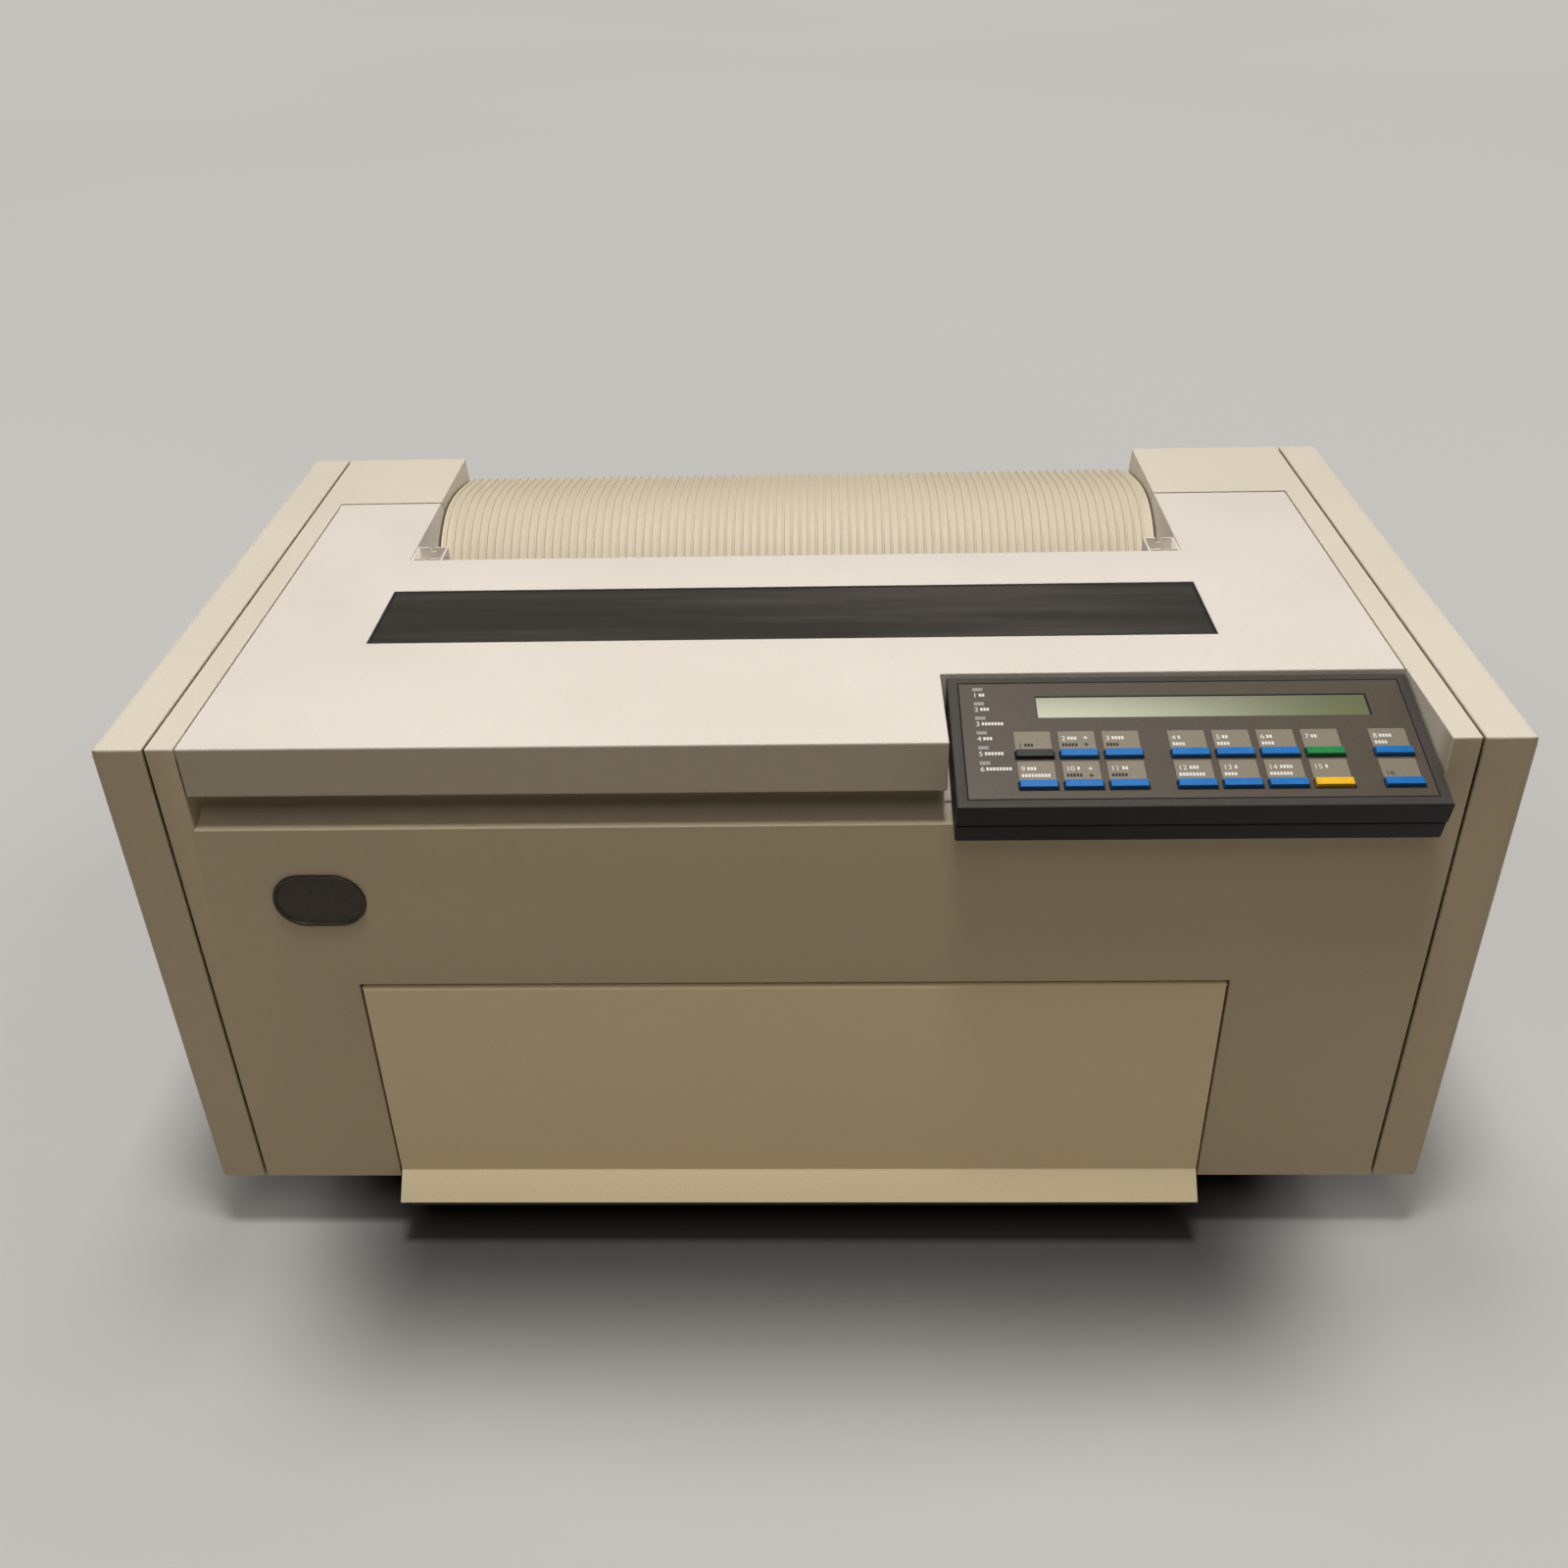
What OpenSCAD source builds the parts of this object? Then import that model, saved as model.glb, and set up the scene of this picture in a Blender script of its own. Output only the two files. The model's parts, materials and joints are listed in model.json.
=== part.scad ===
// Wide-carriage dot matrix printer with a hinged top lid, a front forms door,
// a tilted operator panel and a ribbed paper guide across a notch at the rear.
// Millimetres. X is across the printer, Y runs from front to back, Z is up.
// The origin is in the middle of the rectangle that the printer covers, on the table.

/* [Covers] */
// Width over the two side covers
body_w = 640; // [600:1:700]
// Depth of the covers at the top
top_d = 358; // [350:1:370]
// Depth of the covers at the foot
foot_d = 420; // [405:1:440]
// Height of the covers
cover_h = 269.6; // [266:0.2:275]
// Height of the covers' lower edge above the table
stand_h = 40; // [34:1:50]
// Height of the upright band at the foot of the back
band_h = 44; // [40:1:50]
// Wall of every cover
wall = 3; // [2.4:0.1:3.2]
// Width of a side cover
side_w = 24; // [20:0.2:30]
// Rounding along the outer edges of a side cover
side_r = 4; // [2:0.5:6]
// Gap between neighbouring covers
seam = 1.6; // [1:0.1:2]
// Width of the fixed rail beside the lid
rail_w = 12.8; // [11:0.2:14]
// Height of the joint between the main cover and the rear cover
rear_seam_z = 222; // [215:1:228]

/* [Lid] */
// Height of the lid's skirt and front lip
skirt_h = 25.4; // [22:0.2:27]
// Gap between the lid and the rails
lid_gap = 0.8; // [0.6:0.1:1.2]
// Depth of the lid from the front face
lid_d = 283; // [282:0.5:284]
// Hinge axis behind the front face
hinge_y = 275.5; // [274:0.5:276]
// Hinge axis below the top of the covers
hinge_drop = 12.4; // [11:0.2:13]
// Radius of the hinge pins
pin_r = 2; // [1.5:0.1:2.5]
// Running clearance of a hinge pin or shaft in its bore
run_fit = 0.05; // [0.02:0.01:0.1]
// Distance of the paper notch from the main cover's left side
notch_left = 73.4; // [70:0.2:77]
// Distance of the paper notch from the main cover's right side
notch_right = 90.4; // [86:0.2:93]
// Front edge of the notch
notch_y = 201; // [198:1:206]
// Left end of the window, in from the notch's left side
win_left = 1; // [-4:0.2:11]
// Right end of the window, in from the notch's right side
win_right = 1.6; // [-4:0.2:9]
// Front edge of the window
win_y0 = 101; // [96:1:105]
// Rear edge of the window
win_y1 = 161.4; // [155:0.2:168]
// Thickness of the window
win_t = 2; // [1.5:0.1:2.5]

/* [Front] */
// Distance of the forms door from the main cover's left side
door_left = 74.6; // [70:0.2:79]
// Distance of the forms door from the main cover's right side
door_right = 92.3; // [88:0.1:96]
// Height of the forms door's upper edge
door_h = 132.6; // [126:0.2:138]
// Gap beside the forms door
door_gap = 1.5; // [1:0.1:2]
// Gap above the forms door
door_top_gap = 1; // [0.8:0.1:1.5]
// Radius of the door's upper edge, round the hinge pins
door_r = 3.5; // [3.2:0.1:4]
// Reach of the door's crease in front of the covers
crease_out = 1.5; // [1:0.1:2.5]
// Height of the crease where the door's lip starts
crease_z = 6.8; // [6:0.1:8]
// Reach of the door's lip in front of the covers
lip_out = 13.7; // [12:0.1:15]
// Reach of the door's lip below the covers
lip_drop = 6; // [5:0.1:7]
// Height of the finger groove's lower edge
groove_z = 226; // [222:0.5:230]
// Depth of the finger groove
groove_d = 20; // [16:0.5:22]
// Width of the oval badge
badge_w = 44; // [38:1:50]
// Height of the oval badge
badge_h = 29; // [24:1:32]
// Distance of the badge's middle from the main cover's left side
badge_side = 63.4; // [54:0.2:66]
// Middle of the badge above the covers' lower edge
badge_z = 185.5; // [178:0.5:192]

/* [Operator panel] */
// Width of the panel
panel_w = 214.4; // [213.8:0.2:214.8]
// Length of the panel's sloping top
panel_l = 82.5; // [81.5:0.1:82.8]
// Slope of the panel
panel_tilt = 14.6; // [14:0.1:15]
// Reach of the panel in front of the covers
panel_over = 18.3; // [18:0.1:19]
// Height of the panel's front edge
panel_z = 247.2; // [246:0.1:247.6]
// Thickness of the panel
panel_t = 22.6; // [21:0.2:24]
// Thickness of the panel's upper shell
panel_split = 12.5; // [11:0.5:13.5]
// Wall of the panel's shells
panel_wall = 2.2; // [2:0.1:2.5]
// Depth of the recess for the overlay
overlay_recess = 1.2; // [1.1:0.1:1.4]
// Thickness of the overlay
overlay_t = 0.8; // [0.5:0.1:0.9]
// Border between the overlay and the panel's edge
overlay_rim = 5; // [4:0.2:6]
// Space between neighbouring keys
key_space = 3.5; // [3.4:0.1:4.5]
// Depth of a key bar
key_d = 4.2; // [3.6:0.2:4.4]
// Height of a key bar above the overlay
key_h = 2; // [1.6:0.1:2.2]
// Clearance round a key bar
key_gap = 0.4; // [0.3:0.05:0.5]
// Travel of a key
key_travel = 1.4; // [0.8:0.1:1.4]
// Distance of the first keys from the panel's left side
keys_left = 28.4; // [27:0.2:29]
// Distance of the last keys from the panel's right side
keys_right = 10; // [9:0.2:12]
// Space between the first group of keys and the second
group_a = 13.3; // [11:0.1:14]
// Space between the second group of keys and the last pair
group_b = 14; // [12:0.1:15]
// Distance from the panel's front edge to the front row of keys
row_a = 11; // [10:0.2:11.4]
// Spacing of the two rows of keys
row_pitch = 18.8; // [18:0.2:19]
// Distance of the display window from the panel's left side
lcd_x = 40.2; // [38:0.2:42]
// Distance of the display window from the panel's right side
lcd_right = 21.9; // [21:0.1:28]
// Distance from the panel's front edge to the display window
lcd_y = 55.6; // [55:0.2:56]
// Height of the display window
lcd_h = 14; // [12:0.2:14.4]
// Indicator lamps along the panel's left side
lamp_count = 6; // [4:1:6]
// Spacing of the indicator lamps
lamp_pitch = 9.5; // [8:0.1:9.6]

/* [Paper guide] */
// Radius of the guide in front of its crest
crest_r = 60; // [56:1:64]
// Radius of the guide behind its crest
back_r = 150; // [130:5:170]
// Height of the guide's crest above the covers' lower edge
crest_z = 265; // [264:0.5:266]
// Distance of the guide's crest from the covers' rear edge
crest_back = 58; // [56:0.5:60]
// Spacing of the ribs
rib_pitch = 4.92; // [4.9:0.01:6]
// Width of a rib
rib_w = 3.3; // [2.6:0.1:3.6]
// Height of a rib
rib_h = 1.4; // [1:0.1:1.8]
// Thickness of the guide's sheet
guide_t = 2.5; // [2:0.1:3]

/* [Mechanism] */
// Thickness of the two side frames
frame_t = 3; // [2.5:0.1:3.5]
// Distance of the left frame from the main cover's left side
frame_left = 58; // [56:0.2:59]
// Distance of the right frame from the main cover's right side
frame_right = 75.4; // [73:0.2:76]
// Platen axis behind the front face
platen_y = 205; // [204:0.5:206]
// Platen axis above the covers' lower edge
platen_z = 190; // [188:0.5:191]
// Radius of the platen
platen_r = 20; // [18:0.5:20.5]
// Radius of the platen's shaft
shaft_r = 6; // [5:0.5:7]
// Radius of the carriage rods
rod_r = 6; // [5:0.5:7]
// Front carriage rod behind the front face
rod_y = 125; // [123:0.5:127]
// Spacing of the two carriage rods
rod_gap = 38; // [36:0.5:40]
// Height of the carriage rods
rod_z = 168; // [166:0.5:170]
// Width of the carriage
carriage_w = 70; // [60:1:74]
// Module of the feed gears
gear_m = 1.5; // [1.45:0.05:1.5]
// Teeth of the platen gear and of the tractor gear
gear_n = 40; // [40]
// Teeth of the idler gear
idler_n = 62; // [62]
// Teeth of the motor pinion
pinion_n = 20; // [20]
// Width of the feed gears
gear_w = 8; // [6:0.5:9]
// Direction of the gear train down from the platen
train_angle = 218.4; // [218:0.1:219]
// Direction of the motor pinion down from the idler
pinion_angle = -50; // [-54:1:-48]
// Size across a motor's body
motor_w = 50; // [44:1:51]
// Length of a motor
motor_l = 50; // [44:1:52]
// Half the width across the tractor shaft's flats
hex_r = 4; // [3.5:0.1:4.5]
// Radius of a tractor's sprocket
sprocket_r = 15; // [14:0.5:15]
// Radius of the belt pulleys
pulley_r = 9; // [8:0.5:10]
// Radius of the feet
foot_r = 14; // [12:0.5:16]

/* [Hidden] */
$fn = 48;
eps = 0.01;
fit = 0.3;            // clearance between loose neighbours

cream = [0.87, 0.82, 0.70];
lid_white = [0.89, 0.86, 0.81];
steel = [0.62, 0.63, 0.65];
dark = [0.15, 0.15, 0.15];
black = [0.06, 0.06, 0.06];
brass = [0.45, 0.40, 0.30];

half_w = body_w / 2;
cover_x = half_w - side_w - seam;      // outer side of the main cover
rail_x = cover_x - rail_w;             // inner side of the rails
lid_x = rail_x - lid_gap;              // side of the lid
hinge_z = cover_h - hinge_drop;
lid_r = sqrt(pow(lid_d - hinge_y, 2) + pow(hinge_drop, 2));
skirt_z = cover_h - skirt_h;           // lower edge of the lid's skirt
notch_x0 = notch_left - cover_x;
notch_x1 = cover_x - notch_right;
win_x0 = notch_x0 + win_left;
win_x1 = notch_x1 - win_right;
door_x0 = door_left - cover_x;
door_x1 = cover_x - door_right;
badge_x = badge_side - cover_x;
frame_x0 = frame_left - cover_x;       // inner faces of the two frames
frame_x1 = cover_x - frame_right;
front_y = (panel_over - foot_d) / 2;   // front face of the covers
slope = (foot_d - top_d) / (cover_h - band_h);

// pan under the covers
pan_t = 2.5;
pan_drop = 24;                         // from the covers' lower edge to the pan's underside
pan_floor = pan_t - pan_drop;
tray_w = 17;                           // trays in the front corners of the lid's notch
tray_l = 21;
forms_t = 2.4;                         // forms lip under the door's lip
forms_drop = lip_drop + 0.8;
pan_x = cover_x - 14;
pan_y0 = 30;
pan_y1 = foot_d - 22;

// panel corners: s runs up the slope from the front edge, d goes down square to the top
function panel_pt(s, d) = [-panel_over + s * cos(panel_tilt) + d * sin(panel_tilt),
    panel_z + s * sin(panel_tilt) - d * cos(panel_tilt)];
panel_x1 = rail_x - 0.8;
panel_x0 = panel_x1 - panel_w;
panel_rear = panel_pt(panel_l, 0)[0];
function panel_floor(y) = panel_pt(0, panel_t)[1] + (y - panel_pt(0, panel_t)[0]) * tan(panel_tilt);
cut_x = panel_x0 - 3;                  // left side of the lid's cut-out for the panel
cut_y = panel_rear + 1.6;              // rear side of that cut-out
groove_x1 = panel_x0 + 6;              // right end of the finger groove, under the panel
pocket_y = cut_y - 0.8;                // rear end of the pocket that the panel sits in

// key places, numbered along the rear row and then along the front row: 3, 4 and 1 to a row
key_w = (panel_w - keys_left - keys_right - 5 * key_space - group_a - group_b) / 8;
key_pitch = key_w + key_space;
keys_mid = keys_left + 3 * key_pitch - key_space + group_a;
keys_last = keys_mid + 4 * key_pitch - key_space + group_b;
key_x = [for (i = [0:2]) keys_left + i * key_pitch, for (i = [0:3]) keys_mid + i * key_pitch, keys_last];
lcd_w = panel_w - lcd_x - lcd_right;
function key_place(i) = [key_x[i % 8], row_a + (i < 8 ? row_pitch : 0)];
plate_t = panel_wall;                  // plate under the overlay
key_flange = 0.8;
lamp_w = 4.8;
lamp_h = 2.2;
lamp_x = 11.6;

// feed train
function polar(c, r, a) = [c[0] + r * cos(a), c[1] + r * sin(a)];
function pitch_r(n) = gear_m * n / 2;
platen_c = [platen_y, platen_z];
idler_c = polar(platen_c, pitch_r(gear_n) + pitch_r(idler_n), train_angle);
tractor_c = polar(idler_c, pitch_r(idler_n) + pitch_r(gear_n), train_angle);
pinion_c = polar(idler_c, pitch_r(idler_n) + pitch_r(pinion_n), pinion_angle);
gear_x = frame_x1 + frame_t + 1.5;
// turn of a gear whose centre lies at angle a from a gear that is turned by t
function mesh_turn(n1, t, n2, a) = let (p = (a - t) * n1 / 360) a + 180 - (0.5 - p) * 360 / n2;
idler_turn = mesh_turn(gear_n, 0, idler_n, train_angle);
tractor_turn = mesh_turn(idler_n, idler_turn, gear_n, train_angle);
pinion_turn = mesh_turn(idler_n, idler_turn, pinion_n, pinion_angle);

// carriage and belt
mid_x = (notch_x0 + notch_x1) / 2;
rod2_y = rod_y + rod_gap;
belt_y = rod_y - 20;
belt_z = 152;
belt_w = 7;
belt_t = 1.6;
drive_x = frame_x1 - 26;
tension_x = frame_x0 + 22;

// tractors
tractor_w = 22;
tractor_x = [frame_x0 + 44, frame_x1 - 40];
rod3_c = [tractor_c[0] + 8, tractor_c[1] - 34];

// ---- helpers -------------------------------------------------------------

// everything below is drawn from the front face and the covers' lower edge
module place() translate([0, front_y, stand_h]) children();

// block between two corners
module box(x0, x1, y0, y1, z0, z1) translate([x0, y0, z0]) cube([x1 - x0, y1 - y0, z1 - z0]);

// side profile, given as points of Y and Z, drawn out from x0 to x1
module along_x(x0, x1) translate([x0, 0, 0]) rotate([90, 0, 90]) linear_extrude(x1 - x0) children();

// round bar along X
module bar(c, r, x0, x1) translate([x0, c[0], c[1]]) rotate([0, 90, 0]) cylinder(r = r, h = x1 - x0);

// frame of the operator panel: X from its left side, Y up its slope, Z out of its top
module on_panel() translate([panel_x0, -panel_over, panel_z]) rotate([panel_tilt, 0, 0]) children();

// straight-sided gear in the plane of its own axis
module gear_2d(n, turn) {
    root = pitch_r(n) - 1.25 * gear_m;
    tip = pitch_r(n) + 0.8 * gear_m;
    step = 360 / n;
    polygon([for (i = [0:n - 1], k = [0:3])
        let (a = turn + i * step + [-0.33, -0.12, 0.12, 0.33][k] * step,
             r = k == 0 || k == 3 ? root : tip) [r * cos(a), r * sin(a)]]);
}

module gear(c, n, turn, x0, x1) along_x(x0, x1) translate(c) gear_2d(n, turn);

// back of the covers at height z
function back_y(z) = z < band_h ? foot_d : foot_d - (z - band_h) * slope;

// ---- pan and feet --------------------------------------------------------

// pressed steel pan: floor, low walls, a flange that the covers stand on and a forms lip
module base_pan() place() color(dark) difference() {
    union() {
        box(-pan_x, pan_x, pan_y0, pan_y1, -pan_drop, 0);
        difference() {
            box(-half_w + 8, half_w - 8, 8, foot_d - 8, -pan_t, 0);
            box(door_x0 - door_gap, door_x1 + door_gap, 0, pan_y0, -pan_t - 1, 1);
        }
        box(door_x0 + 4, door_x1 - 4, 1 - lip_out, pan_y0 + 1, -forms_drop - forms_t, -forms_drop);
    }
    box(-pan_x + pan_t, pan_x - pan_t, pan_y0 + pan_t, pan_y1 - pan_t, pan_floor, 1);
    box(door_x0 + 4, door_x1 - 4, pan_y0 - 1, pan_y0 + pan_t + 1, -forms_drop, 1);
}

module rubber_feet() place() color(black)
    for (x = [-pan_x + 36, pan_x - 36], y = [pan_y0 + 34, pan_y1 - 34]) translate([x, y, -stand_h])
        difference() {
            cylinder(r1 = foot_r - 2, r2 = foot_r, h = stand_h - pan_drop);
            translate([0, 0, -eps]) cylinder(r = 4, h = 6);
        }

// ---- covers --------------------------------------------------------------

// hollow corner block beside the notch, with a trough behind the lid's rounded rear edge
module rear_block(x0, x1) difference() {
    along_x(x0, x1) polygon([[hinge_y + 4, rear_seam_z], [hinge_y + 4, cover_h],
        [top_d, cover_h], [back_y(rear_seam_z), rear_seam_z]]);
    along_x(x0 + wall, x1 - wall) polygon([[hinge_y + lid_r + lid_gap + wall, rear_seam_z - 1],
        [hinge_y + lid_r + lid_gap + wall, cover_h - wall], [top_d - wall, cover_h - wall],
        [back_y(rear_seam_z) - wall, rear_seam_z], [back_y(rear_seam_z) - wall, rear_seam_z - 1]]);
    bar([hinge_y, hinge_z], lid_r + lid_gap, x0 - 1, x1 + 1);
    box(x0 - 1, x1 + 1, hinge_y, hinge_y + lid_r + lid_gap, rear_seam_z - 1, hinge_z);
}

// points of the trough's round, r from its axis, from its front edge up to angle a
function trough(r, a) = [for (i = [0:10:a]) [r * sin(i), groove_z + groove_d - r * cos(i)]];

// concave trough of the finger groove and the wall behind it
module groove() along_x(-rail_x - eps, cut_x + eps) polygon(concat(
    trough(groove_d, 90),
    [[groove_d, cover_h - wall - 5], [groove_d + wall, cover_h - wall - 5]],
    reversed(trough(groove_d + wall, 90))));

// floor of the panel's pocket from y0 back, with the wall that drops from its rear end
module pocket_2d(y0) polygon([[y0, panel_floor(y0)],
    [pocket_y, panel_floor(pocket_y)], [pocket_y, panel_floor(pocket_y) - 20],
    [pocket_y - wall, panel_floor(pocket_y) - 20],
    [pocket_y - wall, panel_floor(pocket_y - wall) - wall], [y0, panel_floor(y0) - wall]]);

// end of the trough, which runs on under the panel's left edge
module groove_end() {
    along_x(cut_x - eps, groove_x1 + eps) {
        polygon(concat(trough(groove_d, 40), reversed(trough(groove_d + wall, 40))));
        pocket_2d(groove_d * sin(40) - 1);
    }
    along_x(groove_x1, groove_x1 + wall) polygon([[0, groove_z - wall], [0, panel_floor(0)],
        [groove_d, panel_floor(groove_d)], [groove_d, groove_z - wall]]);
}

// rail beside the lid, with the ledge that the lid's skirt closes onto
module rail(side) {
    x0 = side < 0 ? -cover_x : rail_x;
    x1 = x0 + rail_w;
    difference() {
        box(x0, x1, 0, hinge_y + lid_r, groove_z - wall, cover_h);
        box(x0 + wall, x1 - wall, wall, hinge_y + lid_r + 1, groove_z - wall - 1, cover_h - wall);
    }
    lx = side < 0 ? -rail_x - eps : rail_x - 5;
    box(lx, lx + 5 + eps, side < 0 ? groove_d : pocket_y, hinge_y - 20, skirt_z - fit - wall, skirt_z - fit);
}

// boss in a rail for one of the lid's hinge pins
module lid_boss(side) bar([hinge_y, hinge_z], pin_r + 3, side < 0 ? -cover_x : rail_x,
    side < 0 ? -rail_x : cover_x);

// ear beside the door opening for one of the door's hinge pins
module door_ear(x) box(x, x + 10, wall - eps, 2 * door_r + 2, door_h - 2 * door_r - 2, door_h);

module main_cover() place() color(cream) difference() {
    union() {
        // front wall with its side returns and the ledges that stand on the pan
        box(-cover_x, cover_x, 0, wall, 0, groove_z);
        for (x = [-cover_x, cover_x - wall]) box(x, x + wall, 0, 24, 0, groove_z);
        box(-cover_x, door_x0 - door_gap, 0, 24, 0, wall);
        box(door_x1 + door_gap, cover_x, 0, 24, 0, wall);
        // stiffening frame round the door opening
        box(door_x0 - door_gap - wall, door_x0 - door_gap, 0, 18, 0, door_h + door_top_gap + wall);
        box(door_x1 + door_gap, door_x1 + door_gap + wall, 0, 18, 0, door_h + door_top_gap + wall);
        box(door_x0 - door_gap - wall, door_x1 + door_gap + wall, 0, 18, door_h + door_top_gap,
            door_h + door_top_gap + wall);
        door_ear(door_x0 - door_gap - 10);
        door_ear(door_x1 + door_gap);
        groove();
        groove_end();
        // pocket for the operator panel
        along_x(groove_x1, rail_x + eps) {
            polygon([[0, groove_z - wall], [0, panel_floor(0)], [wall, panel_floor(wall)],
                [wall, groove_z - wall]]);
            pocket_2d(wall / 2);
        }
        rail(-1);
        rail(1);
        rear_block(-cover_x, notch_x0);
        rear_block(notch_x1, cover_x);
        lid_boss(-1);
        lid_boss(1);
        // ledges under the paper guide's ends
        box(notch_x0 - eps, notch_x0 + 8, guide_web_y0, guide_web_y1, guide_web_z - wall, guide_web_z);
        box(notch_x1 - 8, notch_x1 + eps, guide_web_y0, guide_web_y1, guide_web_z - wall, guide_web_z);
    }
    // door opening
    box(door_x0 - door_gap, door_x1 + door_gap, -1, wall + 1, -1, door_h + door_top_gap);
    // bores for the hinge pins
    for (x = [-cover_x - 1, rail_x - 1]) bar([hinge_y, hinge_z], pin_r, x, x + rail_w + 2);
    for (x = [door_x0 - door_gap - 11, door_x1 + door_gap - 1])
        bar([door_r, door_h - door_r], pin_r - 0.5, x, x + 12);
    // room for the lid's skirt at both ends of the finger groove and beside the panel's pocket
    box(-rail_x, wall + fit - lid_x, groove_d - 1, groove_d + wall + 1, skirt_z - fit, cover_h);
    box(cut_x - wall - fit, cut_x + fit, groove_d - 1, pocket_y + 1, skirt_z - fit, cover_h);
    // seat of the badge
    translate([badge_x, 1, badge_z]) rotate([90, 0, 0]) linear_extrude(2) badge_2d(0.2);
}

// flat shell that covers one side of the printer
module side_cover() difference() {
    hull() {
        along_x(half_w - side_w, half_w - side_r) side_2d(0);
        // outer edges in three steps of a quarter round
        for (a = [30:30:90]) along_x(half_w - side_r, half_w - side_r * (1 - sin(a)))
            side_2d(side_r * (1 - cos(a)));
    }
    along_x(half_w - side_w - 1, half_w - wall) side_2d(wall);
}

// side profile of the covers, drawn in by d
module side_2d(d) polygon([[d, d], [d, cover_h - d], [top_d - d, cover_h - d],
    [foot_d - d, band_h], [foot_d - d, d]]);

module left_side_cover() place() color(cream) mirror([1, 0, 0]) side_cover();

module right_side_cover() place() color(cream) side_cover();

vent_n = 22;
vent_pitch = 9;
vent_x = [54.4 - cover_x, cover_x - 254.4];   // left ends of the two fields of vents
back_lip_z = cover_h - 20.6;           // upper edge of the rear cover behind the guide

// sloping back with two fields of vents and cut-outs for the sockets
module rear_cover() place() color(cream) difference() {
    union() {
        along_x(-cover_x, cover_x) polygon([[foot_d, 0], [foot_d, band_h],
            [back_y(rear_seam_z), rear_seam_z], [back_y(rear_seam_z) - wall, rear_seam_z],
            [foot_d - wall, band_h], [foot_d - wall, wall], [foot_d - 24, wall], [foot_d - 24, 0]]);
        along_x(notch_x0 + 2, notch_x1 - 2) polygon([[back_y(rear_seam_z), rear_seam_z],
            [back_y(back_lip_z), back_lip_z], [back_y(back_lip_z) - wall, back_lip_z],
            [back_y(rear_seam_z) - wall, rear_seam_z]]);
        for (x = [-cover_x, cover_x - wall]) along_x(x, x + wall) polygon([[foot_d - 24, 0],
            [foot_d, 0], [foot_d, band_h], [back_y(rear_seam_z), rear_seam_z],
            [back_y(rear_seam_z) - 20, rear_seam_z], [foot_d - 24, band_h]]);
    }
    for (x0 = vent_x, i = [0:vent_n - 1])
        box(x0 + i * vent_pitch, x0 + i * vent_pitch + 4, back_y(170) - 20, foot_d, 110, 170);
    socket_cuts();
}

// ---- lid -----------------------------------------------------------------

module lid_top_2d(d) difference() {
    translate([-lid_x + d, d]) square([2 * (lid_x - d), lid_d - 2 * d]);
    translate([notch_x0 - d, notch_y - d]) square([notch_x1 - notch_x0 + 2 * d, lid_d]);
    translate([cut_x - d, -1]) square([lid_x, cut_y + d + 1]);
}

// thin-walled tray in the notch's front corner, open at the top
module corner_tray(x0) {
    w = tray_w;
    l = tray_l;
    difference() {
        box(x0, x0 + w, notch_y - 1, notch_y + l, cover_h - 18, cover_h - 1.5);
        box(x0 + 1, x0 + w - 1, notch_y, notch_y + 4.5, cover_h - 17, cover_h);
        box(x0 + 1, x0 + w - 1, notch_y + 5.5, notch_y + l - 1, cover_h - 17, cover_h);
        box(x0 + w / 2 - 1.5, x0 + w / 2 + 1.5, notch_y, notch_y + l + 1, cover_h - 4, cover_h);
    }
    box(x0 + w / 2 - 2, x0 + w / 2 + 2, notch_y, notch_y + 5, cover_h - 17.5, cover_h - 5);
}

module lid() place() color(lid_white) difference() {
    union() {
        intersection() {
            difference() {
                translate([0, 0, skirt_z]) linear_extrude(skirt_h) lid_top_2d(0);
                translate([0, 0, skirt_z - 1]) linear_extrude(skirt_h - wall + 1) lid_top_2d(wall);
            }
            box(-half_w, half_w, -1, hinge_y, 0, cover_h + 1);
        }
        // rounded rear edges that turn in the troughs of the rear blocks
        for (x = [[-lid_x, notch_x0], [notch_x1, lid_x]]) intersection() {
            bar([hinge_y, hinge_z], lid_r, x[0], x[1]);
            box(x[0], x[1], hinge_y - eps, hinge_y + lid_r + 1, hinge_z - lid_r - 1, cover_h);
            difference() {
                box(x[0], x[1], 0, foot_d, 0, cover_h);
                intersection() {
                    bar([hinge_y, hinge_z], lid_r - wall, x[0] + 12, x[1] - 12);
                    box(x[0], x[1], 0, foot_d, 0, cover_h - wall);
                }
            }
        }
        for (x = [-lid_x, lid_x - 12]) intersection() {
            bar([hinge_y, hinge_z], lid_r, x, x + 12);
            box(x, x + 12, hinge_y - 9, hinge_y + 1, skirt_z, cover_h);
        }
        corner_tray(notch_x0 - eps);
        corner_tray(notch_x1 - tray_w + eps);
    }
    for (x = [-lid_x - 1, lid_x - 12]) bar([hinge_y, hinge_z], pin_r + run_fit, x, x + 13);
    // window opening with a step that the pane is set into
    box(win_x0, win_x1, win_y0, win_y1, cover_h - wall - 1, cover_h + 1);
    box(win_x0 - 4, win_x1 + 4, win_y0 - 4, win_y1 + 4, cover_h - wall - 1, cover_h - 1.4);
}

module lid_window() place() color([0.2, 0.19, 0.18]) {
    box(win_x0 - 3.8, win_x1 + 3.8, win_y0 - 3.8, win_y1 + 3.8, cover_h - 1.4 - win_t, cover_h - 1.4);
    box(win_x0 + 0.2, win_x1 - 0.2, win_y0 + 0.2, win_y1 - 0.2, cover_h - 1.4, cover_h - 0.6);
}

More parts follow.
